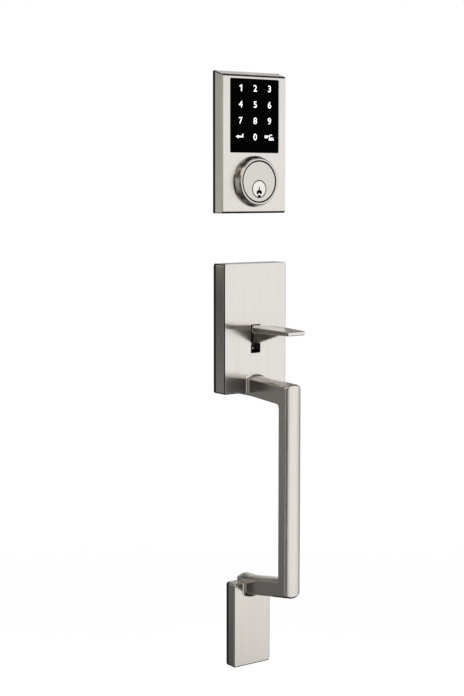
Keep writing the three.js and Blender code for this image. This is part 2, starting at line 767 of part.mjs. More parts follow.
/** Driver pin above the shear line. */
function driverPin(k) {
  return rodZ(pinR0, driverBottomZ, driverBottomZ + driverLength, 0, chamberYs[k], 12);
}

/** Coil spring between a driver pin and the chamber's cap. */
function pinSpring(k) {
  const stepsPerTurn = 7;
  const low = driverBottomZ + driverLength + seatGap + springWireR;
  const high = chamberTopZ - springWireR;
  const radius = pinR0 - springWireR;
  const points = [];
  for (let i = 0; i <= springTurns * stepsPerTurn; i += 1) {
    const share = i / (springTurns * stepsPerTurn);
    const angle = 2 * Math.PI * springTurns * share;
    points.push(new THREE.Vector3(radius * Math.cos(angle), chamberYs[k] + radius * Math.sin(angle),
      low + (high - low) * share));
  }
  return wire(points, springWireR, springTurns * stepsPerTurn, 4);
}

/** Flat blade that carries the plug's turn to the deadbolt. */
function tailpiece() {
  const start = plugEndY + plugEndLength - tailpieceSeat;
  const [w, t] = [tailpieceWidth / 2, tailpieceThickness / 2];
  return block(-w, w, start, tailpieceEndY, plugZ - t, plugZ + t);
}

// ---------------------------------------------------------------- handle, upper plate

const upperFrontY = -upperDepth;
const upperInnerY = upperFrontY + upperFrontWall;
const upperHalfHeight = upperHeight / 2;
const slotHalfWidth = leverHalfWidth + slotSideGap;
const rightEarX = leverHalfWidth + earSideGap;
const leftEarX = -(leverHalfWidth + springRoom);
const earBackY = upperInnerY + earDepth;

/** Die-cast upper plate: lever slot, pivot ears, post bosses and the grip's seat. */
function upperEscutcheon() {
  let body = shell(upperWidth / 2, upperBottomZ, upperHalfHeight, upperDepth, upperFrontWall,
    shellCornerR, shellEdge);
  const wall = upperInnerY - 1;
  for (const side of [-1, 1]) {
    body = body.add(rodY(upperBossR, wall, upperBossBackY, side * upperPostX, latchBoreZ, SMALL_ROUND));
    body = body.subtract(rodY(postStemR + slipGap, upperBossBackY - upperStemLength - seatGap, 1,
      side * upperPostX, latchBoreZ, SMALL_ROUND));
  }
  const padHalf = upperGripScrewX + gripScrewHeadR;
  body = body.add(block(-padHalf, padHalf, wall, upperFrontY + gripPadThickness,
    upperBottomZ + gripPadInset, upperGripScrewZ + gripScrewHeadR + gripPadMargin));
  for (const z of upperPlateScrewZ) {
    body = body.add(plateBoss(0, z, wall)).subtract(plateBossHole(0, z));
  }
  const [earLow, earHigh] = [pivotZ - earHalfHeight, pivotZ + earHalfHeight];
  body = body.add(block(rightEarX, rightEarX + earThickness, wall, earBackY, earLow, earHigh));
  body = body.add(block(leftEarX - earThickness, leftEarX, wall, earBackY, earLow, earHigh));
  body = body.subtract(rodX(pinR + slipGap, leftEarX - earThickness - 1, rightEarX + earThickness + 1,
    pivotY, pivotZ, SMALL_ROUND));
  const [slotLeft, slotRight] = [-slotHalfWidth, slotHalfWidth];
  body = body.subtract(block(slotLeft, slotRight, upperFrontY - 1, upperInnerY + 0.01, slotBottomZ, slotTopZ));
  for (const side of [-1, 1]) {
    const x = side * upperGripScrewX;
    body = body.subtract(rodY(gripScrewR + slipGap, upperFrontY - 1, 0, x, upperGripScrewZ, SMALL_ROUND));
  }
  return body;
}

/** Steel back plate of the upper unit: hub hole, lever window and post holes. */
function upperBackPlate() {
  let body = backPlate(upperWidth / 2, upperBottomZ, upperHalfHeight, shellCornerR);
  body = body.subtract(rodY(hubJournalR + slipGap, -PAST, PAST, 0, latchBoreZ));
  const gap = leverWindowGap;
  body = body.subtract(block(fingerInnerX - gap, fingerOuterX + gap, -PAST, PAST,
    fingerTopZ - fingerHeight - gap, fingerTopZ + fingerTravel + gap));
  for (const side of [-1, 1]) {
    body = body.subtract(rodY(upperPostR + slipGap, -PAST, PAST, side * upperPostX, latchBoreZ, SMALL_ROUND));
  }
  for (const z of upperPlateScrewZ) body = body.subtract(countersunkHole(0, z));
  return body;
}

/** Tapped post pressed into the upper plate's boss. */
function upperPost(side) {
  const seat = upperBossBackY + seatGap;
  return turned([
    [0, seat - upperStemLength], [postStemR, seat - upperStemLength], [postStemR, seat],
    [upperPostR, seat], [upperPostR, upperPostEndY], [postThreadR, upperPostEndY],
    [postThreadR, upperPostEndY - postThreadDepth], [0, upperPostEndY - postThreadDepth],
  ], side * upperPostX, latchBoreZ, SMALL_ROUND);
}

/** Thumb lever: flared paddle, web below it, and the tail that lifts the hub's arm. */
function thumbLever() {
  const rootY = upperFrontY;
  const tip = leverTipHalfWidth;
  const point = (x, y) => new THREE.Vector2(x, y);
  const side = [
    point(-leverHalfWidth, leverBackY),
    point(-leverHalfWidth, rootY - leverNeckLength),
    point(-leverShoulderHalfWidth, rootY - leverNeckLength - leverFlareLength),
    point(-tip, leverTipY),
    point(tip, leverTipY),
  ];
  const left = [
    side[0], side[1],
    ...rounded(side[1], side[2], side[3], leverShoulderR),
    ...rounded(side[2], side[3], side[4], leverCornerR),
  ];
  const right = left.map(({ x, y }) => point(-x, y)).reverse();
  const paddleSide = [
    [leverBackY, leverTopZ], [rootY, leverTopZ], [leverTipY, leverTipTopZ],
    [leverTipY, leverTipTopZ - leverTipThickness], [rootY, leverTopZ - leverRootThickness],
    [leverBackY, leverTopZ - leverRootThickness],
  ];
  const plan = new THREE.Shape([...left, ...right]);
  const paddle = prismZ(plan, -PAST, PAST).intersect(prismX(paddleSide, -PAST, PAST));
  const webTop = leverTipTopZ - leverTipThickness + 0.4;
  const web = prismX([
    [leverBackY, leverTopZ - 1], [rootY, leverTopZ - 1], [webEndY, webTop],
    [rootY, webBottomZ], [leverBackY, webBottomZ],
  ], -webHalfWidth, webHalfWidth);
  const w = leverHalfWidth;
  const hub = block(-w, w, leverHubFrontY, leverBackY, webBottomZ, leverTopZ - 1);
  const tailLowZ = fingerTopZ - fingerHeight;
  const tail = block(w - 1, fingerOuterX, tailFrontY, tailBackY, tailTopZ - tailThickness, tailTopZ);
  const drop = block(fingerInnerX, fingerOuterX, tailFrontY, tailBackY, tailLowZ, tailTopZ);
  const finger = block(fingerInnerX, fingerOuterX, tailBackY - 1, fingerEndY, tailLowZ, fingerTopZ);
  const lever = paddle.add(web).add(hub).add(tail).add(drop).add(finger);
  return lever.subtract(rodX(pinR + slipGap, -w - 1, w + 1, pivotY, pivotZ, SMALL_ROUND));
}

/** Pivot pin of the thumb lever. */
function thumbPin() {
  return rodX(pinR, leftEarX - earThickness, rightEarX + earThickness, pivotY, pivotZ, SMALL_ROUND);
}

/** Torsion spring around the pin, one leg up the plate and one under the lever. */
function thumbSpring() {
  const stepsPerTurn = 12;
  const x0 = leftEarX + seatGap + returnWireR;
  const pitch = 2 * returnWireR + 0.05;
  const points = [new THREE.Vector3(x0, pivotY - returnCoilR + 0.55, pivotZ + returnLegLength)];
  for (let i = 0; i <= returnTurns * stepsPerTurn; i += 1) {
    const angle = Math.PI + (2 * Math.PI * i) / stepsPerTurn;
    points.push(new THREE.Vector3(x0 + (pitch * i) / stepsPerTurn,
      pivotY + returnCoilR * Math.cos(angle) * 0.83, pivotZ + returnCoilR * Math.sin(angle)));
  }
  const lowLegZ = pivotZ - returnLegLength * 0.6;
  points.push(new THREE.Vector3(x0 + pitch * returnTurns, pivotY - returnCoilR * 0.83, lowLegZ));
  return wire(points, returnWireR, returnTurns * stepsPerTurn + 8, 6);
}

const clipSeatY = -plateThickness - seatGap;
const hubClipY = clipSeatY - clipThickness;
const hubClipR = hubJournalR + hubClipRim;

/** Hub that carries the latch spindle; its arm rides on the lever's finger. */
function spindleHub() {
  const z = latchBoreZ;
  const capFrontY = hubClipY - seatGap;
  let body = turned([
    [0, capFrontY - hubCapThickness], [hubCapR, capFrontY - hubCapThickness], [hubCapR, capFrontY],
    [hubStubR, capFrontY], [hubStubR, clipSeatY], [hubJournalR, clipSeatY],
    [hubJournalR, hubEndY], [0, hubEndY],
  ], 0, z);
  body = body.add(block(0, hubArmReach, hubArmFrontY, hubEndY, z + hubArmBottom, z + hubArmTop));
  return body.subtract(halfRound(spindleR + runGap, spindleSeatY, hubEndY + 1, z));
}

/** Half-round bar along Y with its flat side to the right. */
function halfRound(radius, y0, y1, z) {
  return rodY(radius, y0, y1, 0, z, SMALL_ROUND)
    .subtract(block(radius * 0.12, radius + 1, y0 - 1, y1 + 1, z - radius - 1, z + radius + 1));
}

/** Half-round spindle that works the door latch. */
function latchSpindle() {
  return halfRound(spindleR, spindleSeatY + seatGap, spindleEndY, latchBoreZ);
}

// ---------------------------------------------------------------- pull grip

const lowerFrontY = -lowerDepth;

/**
 * Side outline of the grip. `grow` is how far the crowned faces stand beyond the flat sides'
 * edges: 0 at the sides, gripCrown in the middle.
 */
function gripOutline(grow) {
  const rootY = upperFrontY - seatGap;
  const lowRootY = lowerFrontY - seatGap;
  const upperTop = (y) => upperArmTopRoot + upperArmTopFall * (y - upperFrontY) + grow;
  const upperBottom = (y) => upperArmBottomRoot + upperArmBottomFall * (y - upperFrontY) - grow;
  const lowerTop = (y) => lowerArmTopRoot - lowerArmTopRise * (y - lowerFrontY) + grow;
  const lowerBottom = (y) => lowerArmBottomRoot - lowerArmBottomRise * (y - lowerFrontY) - grow;
  const point = (y, z) => new THREE.Vector2(y, z);
  const front = barFrontY - grow;
  const back = barBackY + grow;
  const plateBottom = upperBottomZ - seatGap;
  const plateTop = lowerTopZ + seatGap;
  const topCorner = point(front, upperTop(front));
  const lowCorner = point(front, lowerBottom(front));
  const innerTop = point(back, upperBottom(back));
  const innerLow = point(back, lowerTop(back));
  const upperRoot = point(rootY, upperTop(rootY));
  const upperHeelEnd = point(upperFrontY, upperArmBottomRoot - grow);
  const lowerRoot = point(lowRootY, lowerBottom(lowRootY));
  const lowerHeelEnd = point(lowerFrontY, lowerArmTopRoot + grow);
  return [
    upperRoot,
    ...rounded(upperRoot, topCorner, lowCorner, gripOuterR),
    ...rounded(topCorner, lowCorner, lowerRoot, gripOuterR),
    lowerRoot,
    point(lowRootY, plateTop),
    point(gripHeelY, plateTop),
    point(gripHeelY, lowerArmTopRoot + grow),
    lowerHeelEnd,
    ...rounded(lowerHeelEnd, innerLow, innerTop, gripInnerLowR),
    ...rounded(innerLow, innerTop, upperHeelEnd, gripInnerTopR),
    upperHeelEnd,
    point(gripHeelY, upperArmBottomRoot - grow),
    point(gripHeelY, plateBottom),
    point(rootY, plateBottom),
  ];
}

/** C-shaped pull grip with tapped holes in its two feet. */
function pullGrip() {
  const crownR = (gripHalfWidth ** 2 + gripCrown ** 2) / (2 * gripCrown);
  const sections = [];
  for (let i = 0; i <= gripStations; i += 1) {
    const x = gripHalfWidth * ((2 * i) / gripStations - 1);
    const grow = Math.max(Math.sqrt(crownR ** 2 - x ** 2) - (crownR - gripCrown), 0);
    sections.push({ outline: gripOutline(grow), at: x });
  }
  let grip = loft(sections, (y, z, x) => [x, y, z]);
  const tapped = (x, z, frontY) => (
    rodY(gripScrewR + slipGap, frontY - gripScrewBite - 1, 0, x, z, SMALL_ROUND)
  );
  for (const side of [-1, 1]) {
    grip = grip.subtract(tapped(side * upperGripScrewX, upperGripScrewZ, upperFrontY));
  }
  return grip.subtract(tapped(0, lowerGripScrewZ, lowerFrontY));
}

/** Pan-head screw that pulls the grip's foot onto a plate. */
function gripScrew(x, z, frontY, padThickness) {
  const seat = frontY + padThickness + seatGap;
  return turned([
    [0, seat + gripScrewHeadH], [gripScrewHeadR - 0.8, seat + gripScrewHeadH],
    [gripScrewHeadR, seat + gripScrewHeadH - 0.8], [gripScrewHeadR, seat], [gripScrewR, seat],
    [gripScrewR, frontY - gripScrewBite], [0, frontY - gripScrewBite],
  ], x, z, SMALL_ROUND);
}

// ---------------------------------------------------------------- handle, lower plate

/** Die-cast lower plate with the seat of the grip's lower foot. */
function lowerEscutcheon() {
  let body = shell(lowerWidth / 2, lowerBottomZ, lowerTopZ, lowerDepth, lowerFrontWall,
    shellCornerR, shellEdge);
  const wall = lowerFrontY + lowerFrontWall - 1;
  const padHalf = gripScrewHeadR + gripPadMargin;
  body = body.add(block(-padHalf, padHalf, wall, lowerFrontY + lowerPadThickness,
    lowerGripScrewZ - padHalf, lowerTopZ - gripPadInset));
  body = body.add(plateBoss(0, lowerPlateScrewZ, wall)).subtract(plateBossHole(0, lowerPlateScrewZ));
  return body.subtract(rodY(gripScrewR + slipGap, lowerFrontY - 1, 1, 0, lowerGripScrewZ, SMALL_ROUND));
}

/** Steel back plate of the lower unit. */
function lowerBackPlate() {
  return backPlate(lowerWidth / 2, lowerBottomZ, lowerTopZ, shellCornerR)
    .subtract(rodY(postStemR + slipGap, -PAST, PAST, 0, lowerPostZ, SMALL_ROUND))
    .subtract(countersunkHole(0, lowerPlateScrewZ));
}

// ---------------------------------------------------------------- finishes and assembly

const satinNickel = { color: 0xc9c4bd, roughness: 0.32, metalness: 1 };
const blackGlass = { color: 0x0a0a0b, roughness: 0.08, metalness: 0 };
const zincSteel = { color: 0xa9adb0, roughness: 0.4, metalness: 1 };
const brass = { color: 0xb8975a, roughness: 0.35, metalness: 1 };
const springSteel = { color: 0x8f9396, roughness: 0.35, metalness: 1 };
const blackRubber = { color: 0x161616, roughness: 0.9, metalness: 0 };
const whitePlastic = { color: 0xe9e8e4, roughness: 0.6, metalness: 0 };
const boardGreen = { color: 0x1f4a33, roughness: 0.6, metalness: 0 };
const blackPlastic = { color: 0x1b1b1d, roughness: 0.5, metalness: 0 };

const assembly = new THREE.Group();

/** Adds one sub-part as a named mesh. */
function add(group, name, body, finish) {
  const mesh = new THREE.Mesh(geometryOf(body), new THREE.MeshStandardMaterial(finish));
  mesh.name = name;
  group.add(mesh);
}

const keypad = new THREE.Group();
const keypadHalf = keypadWidth / 2;
add(keypad, 'keypad_housing', keypadHousing(), satinNickel);
add(keypad, 'keypad_gasket', gasket(keypadHalf, keypadBottomZ, keypadBackTopZ, keypadCornerR), blackRubber);
add(keypad, 'keypad_back_plate', keypadBackPlate(), zincSteel);
add(keypad, 'touch_lens', touchLens(), blackGlass);
add(keypad, 'light_baffle', lightBaffle(), whitePlastic);
add(keypad, 'touch_board', touchBoard(), boardGreen);
add(keypad, 'cable_socket', cableSocket(), blackPlastic);
[-1, 1].forEach((side, column) => {
  const hand = side < 0 ? 'left' : 'right';
  const screw = countersunkScrew(side * keypadPlateScrewX, keypadPlateScrewZ);
  const post = rivetedPost(side * keypadPostX, deadboltZ, keypadPostR, keypadPostEndY);
  add(keypad, `keypad_plate_screw_${hand}`, screw, zincSteel);
  add(keypad, `keypad_post_${hand}`, post, zincSteel);
  boardBossZ.forEach((z, row) => {
    add(keypad, `board_screw_${2 * column + row + 1}`, boardScrew(side * boardBossX, z), zincSteel);
  });
});

const cylinder = new THREE.Group();
const plugClipY = plugNeckY + runGap;
const plugClip = retainingClip(plugNeckR + slipGap, clipOuterR, plugClipY, plugClipY + clipThickness, 0, plugZ);
add(cylinder, 'cylinder_collar', cylinderCollar(), satinNickel);
add(cylinder, 'cylinder_body', cylinderBody(), satinNickel);
add(cylinder, 'cylinder_nut', cylinderNut(), zincSteel);
add(cylinder, 'chamber_cap', chamberCap(), brass);
add(cylinder, 'plug', plug(), brass);
add(cylinder, 'plug_clip', plugClip, springSteel);
add(cylinder, 'tailpiece', tailpiece(), zincSteel);
keyPinLengths.forEach((_, k) => {
  add(cylinder, `key_pin_${k + 1}`, keyPin(k), brass);
  add(cylinder, `driver_pin_${k + 1}`, driverPin(k), brass);
  add(cylinder, `pin_spring_${k + 1}`, pinSpring(k), springSteel);
});

const upperUnit = new THREE.Group();
const upperGasket = gasket(upperWidth / 2, upperBottomZ, upperHalfHeight, shellCornerR);
const hubClip = retainingClip(hubStubR + slipGap, hubClipR, hubClipY, hubClipY + clipThickness, 0, latchBoreZ);
add(upperUnit, 'upper_escutcheon', upperEscutcheon(), satinNickel);
add(upperUnit, 'upper_gasket', upperGasket, blackRubber);
add(upperUnit, 'upper_back_plate', upperBackPlate(), zincSteel);
upperPlateScrewZ.forEach((z, k) => {
  add(upperUnit, `upper_plate_screw_${k + 1}`, countersunkScrew(0, z), zincSteel);
});
add(upperUnit, 'upper_post_left', upperPost(-1), zincSteel);
add(upperUnit, 'upper_post_right', upperPost(1), zincSteel);
add(upperUnit, 'thumb_lever', thumbLever(), satinNickel);
add(upperUnit, 'thumb_pin', thumbPin(), springSteel);
add(upperUnit, 'thumb_spring', thumbSpring(), springSteel);
add(upperUnit, 'spindle_hub', spindleHub(), zincSteel);
add(upperUnit, 'hub_clip', hubClip, springSteel);
add(upperUnit, 'latch_spindle', latchSpindle(), zincSteel);

const gripUnit = new THREE.Group();
add(gripUnit, 'pull_grip', pullGrip(), satinNickel);
[-1, 1].forEach((side) => {
  const screw = gripScrew(side * upperGripScrewX, upperGripScrewZ, upperFrontY, gripPadThickness);
  add(gripUnit, `grip_screw_${side < 0 ? 'left' : 'right'}`, screw, zincSteel);
});
add(gripUnit, 'grip_screw_lower', gripScrew(0, lowerGripScrewZ, lowerFrontY, lowerPadThickness), zincSteel);

const lowerUnit = new THREE.Group();
const lowerGasket = gasket(lowerWidth / 2, lowerBottomZ, lowerTopZ, shellCornerR);
add(lowerUnit, 'lower_escutcheon', lowerEscutcheon(), satinNickel);
add(lowerUnit, 'lower_gasket', lowerGasket, blackRubber);
add(lowerUnit, 'lower_back_plate', lowerBackPlate(), zincSteel);
add(lowerUnit, 'lower_plate_screw', countersunkScrew(0, lowerPlateScrewZ), zincSteel);
add(lowerUnit, 'lower_post', rivetedPost(0, lowerPostZ, keypadPostR, lowerPostEndY), zincSteel);

assembly.add(keypad, cylinder, upperUnit, gripUnit, lowerUnit);

export default assembly;
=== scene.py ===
"""Looks of a keypad deadbolt with its matching pull handle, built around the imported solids.

Sizes in this file are millimetres and angles are degrees; Solid.place turns them into
Blender's metres. X runs to the right as seen from outside, Y into the door, and Z is up.
"""

import json
import logging
import math
from collections.abc import Callable
from dataclasses import dataclass, field
from enum import Enum

import bmesh
import bpy
from mathutils import Matrix, Vector

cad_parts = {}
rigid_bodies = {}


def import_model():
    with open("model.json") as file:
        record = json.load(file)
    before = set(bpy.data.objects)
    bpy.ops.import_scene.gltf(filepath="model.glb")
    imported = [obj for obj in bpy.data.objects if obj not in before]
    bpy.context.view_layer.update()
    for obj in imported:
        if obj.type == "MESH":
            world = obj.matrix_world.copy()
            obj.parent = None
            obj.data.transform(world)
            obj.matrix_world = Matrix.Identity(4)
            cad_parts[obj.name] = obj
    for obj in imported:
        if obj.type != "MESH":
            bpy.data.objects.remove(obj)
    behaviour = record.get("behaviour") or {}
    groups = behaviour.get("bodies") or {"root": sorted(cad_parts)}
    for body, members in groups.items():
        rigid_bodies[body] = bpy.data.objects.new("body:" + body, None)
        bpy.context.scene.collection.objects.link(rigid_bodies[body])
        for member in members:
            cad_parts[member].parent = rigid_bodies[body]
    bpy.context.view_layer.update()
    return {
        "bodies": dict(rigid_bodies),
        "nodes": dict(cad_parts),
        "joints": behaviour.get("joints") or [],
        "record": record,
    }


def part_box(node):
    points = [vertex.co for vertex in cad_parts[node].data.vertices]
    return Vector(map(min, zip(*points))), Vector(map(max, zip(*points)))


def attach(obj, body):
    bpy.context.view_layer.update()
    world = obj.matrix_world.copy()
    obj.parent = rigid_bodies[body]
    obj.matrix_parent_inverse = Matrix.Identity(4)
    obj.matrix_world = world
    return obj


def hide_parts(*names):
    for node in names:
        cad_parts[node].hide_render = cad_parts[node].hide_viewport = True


LOG = logging.getLogger("lockset")
MM = 0.001
SEAT_GAP = 0.3
SLIP_GAP = 0.2
RUN_GAP = 0.15
PINHOLE_R = 0.02  # a turned solid keeps a pinhole on its axis, so that its skin stays a plain loft
PLATE_BOSS_R = 3.0
PLATE_BOSS_Y = -1.8
PLATE_SCREW_R = 1.5
GRIP_SCREW_R = 2.6

Point = tuple[float, float]
Colour = tuple[float, float, float]


# ---------------------------------------------------------------- shader graphs


class Wire:
    """One value in a shader graph, with arithmetic that adds Math nodes."""

    def __init__(self, graph: "Graph", socket: bpy.types.NodeSocket) -> None:
        """Wraps a socket.

        Args:
            graph: the graph that the socket belongs to.
            socket: the node's output socket.
        """
        self.graph = graph
        self.socket = socket

    def other(self, output: str | int) -> "Wire":
        """Another output of the same node."""
        return Wire(self.graph, self.socket.node.outputs[output])

    def _math(self, operation: str, first: "Wire | float", second: "Wire | float") -> "Wire":
        """A Math node on two values."""
        return self.graph.node("ShaderNodeMath", {"operation": operation}, {0: first, 1: second})

    def __add__(self, value: "Wire | float") -> "Wire":
        """Sum."""
        return self._math("ADD", self, value)

    def __radd__(self, value: float) -> "Wire":
        """Sum, with the number first."""
        return self._math("ADD", value, self)

    def __sub__(self, value: "Wire | float") -> "Wire":
        """Difference."""
        return self._math("SUBTRACT", self, value)

    def __rsub__(self, value: float) -> "Wire":
        """Difference, with the number first."""
        return self._math("SUBTRACT", value, self)

    def __mul__(self, value: "Wire | float") -> "Wire":
        """Product."""
        return self._math("MULTIPLY", self, value)

    def __rmul__(self, value: float) -> "Wire":
        """Product, with the number first."""
        return self._math("MULTIPLY", value, self)

    def __pow__(self, value: float) -> "Wire":
        """Power."""
        return self._math("POWER", self, value)


class Graph:
    """Node graph of a material or of the world."""

    def __init__(self, tree: bpy.types.NodeTree) -> None:
        """Starts an empty graph in `tree`."""
        tree.nodes.clear()
        self.tree = tree

    def node(self, kind: str, settings: dict[str, object] | None = None,
             inputs: dict[str | int, object] | None = None, output: str | int = 0) -> Wire | None:
        """Adds a node.

        Args:
            kind: the node's type name.
            settings: the node's own settings, set first; "stops" fills a colour ramp.
            inputs: values or wires by socket name or number.
            output: the output that is wanted.

        Returns:
            The wire from that output, or None for a node without outputs.
        """
        made = self.tree.nodes.new(kind)
        for name, value in (settings or {}).items():
            if name == "stops":
                self._fill_ramp(made.color_ramp, value)
            else:
                setattr(made, name, value)
        for name, value in (inputs or {}).items():
            if isinstance(value, Wire):
                self.tree.links.new(value.socket, made.inputs[name])
            else:
                made.inputs[name].default_value = value
        return Wire(self, made.outputs[output]) if made.outputs else None

    @staticmethod
    def _fill_ramp(ramp: bpy.types.ColorRamp, stops: list[tuple[float, float]]) -> None:
        """Puts grey stops on a colour ramp.

        Args:
            ramp: a new ramp.
            stops: each stop's place and level.
        """
        ramp.interpolation = "EASE"
        ramp.elements.remove(ramp.elements[1])
        ramp.elements[0].position = stops[0][0]
        for place, _ in stops[1:]:
            ramp.elements.new(place)
        for element, (_, level) in zip(ramp.elements, stops):
            element.color = (level, level, level, 1.0)

    def mix(self, share: Wire | float, first: Colour | Wire, second: Colour | Wire) -> Wire:
        """Mix of two colours.

        Args:
            share: how much of the second shows.
            first: a colour.
            second: a colour.

        Returns:
            The mixed colour.
        """
        low, high = (c if isinstance(c, Wire) else (*c, 1.0) for c in (first, second))
        return self.node("ShaderNodeMix", {"data_type": "RGBA", "clamp_factor": True},
                         {0: share, 6: low, 7: high}, 2)

    def place(self, stretch: tuple[float, float, float]) -> Wire:
        """Object coordinates in metres, stretched along the axes."""
        where = self.node("ShaderNodeTexCoord", output="Object")
        return self.node("ShaderNodeVectorMath", {"operation": "MULTIPLY"}, {0: where, 1: stretch})

    def noise(self, stretch: tuple[float, float, float], detail: float = 2.0) -> Wire:
        """Noise in 0 to 1 whose cells are 1/stretch metres along each axis."""
        return self.node("ShaderNodeTexNoise", None,
                         {"Vector": self.place(stretch), "Scale": 1.0, "Detail": detail})

    def edges(self, radius: float) -> Wire:
        """Mask of a mesh's edges.

        Args:
            radius: how far it reaches from an edge, in millimetres.

        Returns:
            A wire that rises from 0 to 1 towards an edge.
        """
        flat, turned = 0.995, 0.85
        smooth = self.node("ShaderNodeBevel", {"samples": 4}, {"Radius": radius * MM})
        true = self.node("ShaderNodeNewGeometry", output="Normal")
        dot = self.node("ShaderNodeVectorMath", {"operation": "DOT_PRODUCT"},
                        {0: smooth, 1: true}, "Value")
        return self.node("ShaderNodeMapRange", None,
                         {"Value": dot, 1: flat, 2: turned, 3: 0.0, 4: 1.0})

    def relief(self, height: Wire, depth: float, strength: float) -> Wire:
        """Normal from a height in 0 to 1 that stands for `depth` millimetres."""
        return self.node("ShaderNodeBump", None,
                         {"Height": height, "Distance": depth * MM, "Strength": strength})

    def seen(self) -> Wire:
        """1 where the eye, a mirror or a glass looks, and 0 for light."""
        path = self.node("ShaderNodeLightPath", output="Is Camera Ray")
        return path + path.other("Is Glossy Ray") + path.other("Is Transmission Ray")

    def surface(self, inputs: dict[str | int, object]) -> None:
        """Ends the graph in a Principled surface."""
        shader = self.node("ShaderNodeBsdfPrincipled", None, inputs)
        self.node("ShaderNodeOutputMaterial", None, {"Surface": shader})


# ---------------------------------------------------------------- finishes


def tint(colour: Colour, factor: float) -> Colour:
    """Colour made lighter or darker."""
    return tuple(min(channel * factor, 1.0) for channel in colour)


def new_material(name: str) -> tuple[bpy.types.Material, Graph]:
    """Makes an empty material.

    Args:
        name: the material's name.

    Returns:
        The material and its graph.
    """
    material = bpy.data.materials.new(name)
    material.use_nodes = True
    return material, Graph(material.node_tree)


class Grain(Enum):
    """Direction of the fine marks on a metal, as cells per metre along X, Y and Z."""

    UPRIGHT = (9000.0, 9000.0, 150.0)
    ACROSS = (150.0, 9000.0, 9000.0)
    TUMBLED = (2600.0, 2600.0, 2600.0)


@dataclass(frozen=True)
class Finish:
    """What a piece is made of or coated with."""

    name: str

    def material(self) -> bpy.types.Material:
        """Makes the finish's material.

        Returns:
            The material.
        """
        material, graph = new_material(self.name)
        self._lay(graph)
        return material

    def _lay(self, graph: Graph) -> None:
        """Lays the finish's own nodes in an empty graph."""
        raise NotImplementedError


@dataclass(frozen=True)
class Metal(Finish):
    """Brushed or plated metal, or the near-black metal that paints shade in recesses, with streaks, handling
    marks, and rubbed edges that are also lightened as a painted highlight.
    """

    colour: Colour
    roughness: float
    grain: Grain = Grain.TUMBLED
    anisotropy: float = 0.0
    streaks: float = 0.06
    relief: float = 0.15
    rub_and_highlight: float = 0.05

    def _lay(self, graph: Graph) -> None:
        """Lays the streaks, the rubbed edges with their painted highlight, and the handling marks.

        Args:
            graph: the material's empty graph.
        """
        fine_share, broad_share, contrast, cut_off = 0.6, 0.4, 1.6, 0.3
        fine_dulls, smudge_dulls, edge_shines, edge_highlight_gain = 0.12, 0.16, 0.05, 4
        fine = graph.noise(self.grain.value, 3.0)
        broad = graph.noise(tuple(s / 9 for s in self.grain.value), 2.0)
        smudge = graph.noise((28.0, 28.0, 28.0), 3.0)
        edge = graph.edges(0.5)
        lay = (fine * fine_share + broad * broad_share) * contrast - cut_off
        plated = graph.mix(lay, tint(self.colour, 1 - self.streaks), tint(self.colour, 1 + self.streaks))
        graph.surface({
            # Base colour lighter towards the edges: a painted highlight for the shine of the rounds, on top
            # of the rubbed, smoother edges.
            "Base Color": graph.mix(edge * self.rub_and_highlight * edge_highlight_gain, plated,
                                    tint(self.colour, 1 + 2 * self.rub_and_highlight)),
            "Metallic": 1.0,
            "Roughness": ((fine - 0.5) * fine_dulls + (smudge - 0.5) * smudge_dulls + self.roughness
                          - edge * edge_shines),
            "Anisotropic": self.anisotropy,
            "Normal": graph.relief(lay, 0.01, self.relief),
        })


@dataclass(frozen=True)
class Plastic(Finish):
    """Moulded plastic, rubber or board with a fine spark-eroded texture."""

    colour: Colour
    roughness: float
    speckle: float = 0.12
    relief: float = 0.3
    specular: float = 0.4

    def _lay(self, graph: Graph) -> None:
        """Lays the moulded texture, its flow marks and a painted highlight on the edges.

        Args:
            graph: the material's empty graph.
        """
        edge_share, edge_highlight_lift, skin_dulls, flow_dulls = 0.35, 1.5, 0.18, 0.1
        skin = graph.noise((2200.0, 2200.0, 2200.0), 3.0)
        flow = graph.noise((60.0, 60.0, 90.0), 3.0)
        edge = graph.edges(0.4)
        base = graph.mix(flow, tint(self.colour, 1 - self.speckle), tint(self.colour, 1 + self.speckle))
        graph.surface({
            # Base colour lighter towards the edges: a painted highlight.
            "Base Color": graph.mix(edge * edge_share, base, tint(self.colour, edge_highlight_lift)),
            "Roughness": self.roughness + (skin - 0.5) * skin_dulls + (flow - 0.5) * flow_dulls,
            "Specular IOR Level": self.specular,
            "Normal": graph.relief(skin, 0.04, self.relief),
        })


@dataclass(frozen=True)
class Glass(Finish):
    """Polished opaque glass with faint finger marks."""

    colour: Colour
    roughness: float
    specular: float

    def _lay(self, graph: Graph) -> None:
        """Lays the haze and finger marks.

        Args:
            graph: the material's empty graph.
        """
        haze_lift, mark_sharpness, mark_dulls = 1.6, 3, 0.5
        marks = graph.noise((110.0, 110.0, 75.0), 4.0)
        haze = graph.noise((14.0, 14.0, 14.0), 2.0)
        graph.surface({
            "Base Color": graph.mix(haze, self.colour, tint(self.colour, haze_lift)),
            "Roughness": (marks ** mark_sharpness) * mark_dulls + self.roughness,
            "Specular IOR Level": self.specular,
            "Normal": graph.relief(haze, 0.02, 0.05),
        })


@dataclass(frozen=True)
class Lit(Finish):
    """White legend that a lamp behind the glass lights a little unevenly."""

    colour: Colour
    strength: float

    def _lay(self, graph: Graph) -> None:
        """Lays the uneven light.

        Args:
            graph: the material's empty graph.
        """
        dim_paint, dim_glow, roughness, cell_dulls = 0.7, 0.86, 0.5, 0.2
        cells = graph.noise((420.0, 420.0, 420.0), 2.0)
        graph.surface({
            "Base Color": graph.mix(cells, tint(self.colour, dim_paint), self.colour),
            "Roughness": roughness + (cells - 0.5) * cell_dulls,
            "Specular IOR Level": 0.1,
            "Emission Color": graph.mix(cells, tint(self.colour, dim_glow), self.colour),
            "Emission Strength": self.strength,
        })


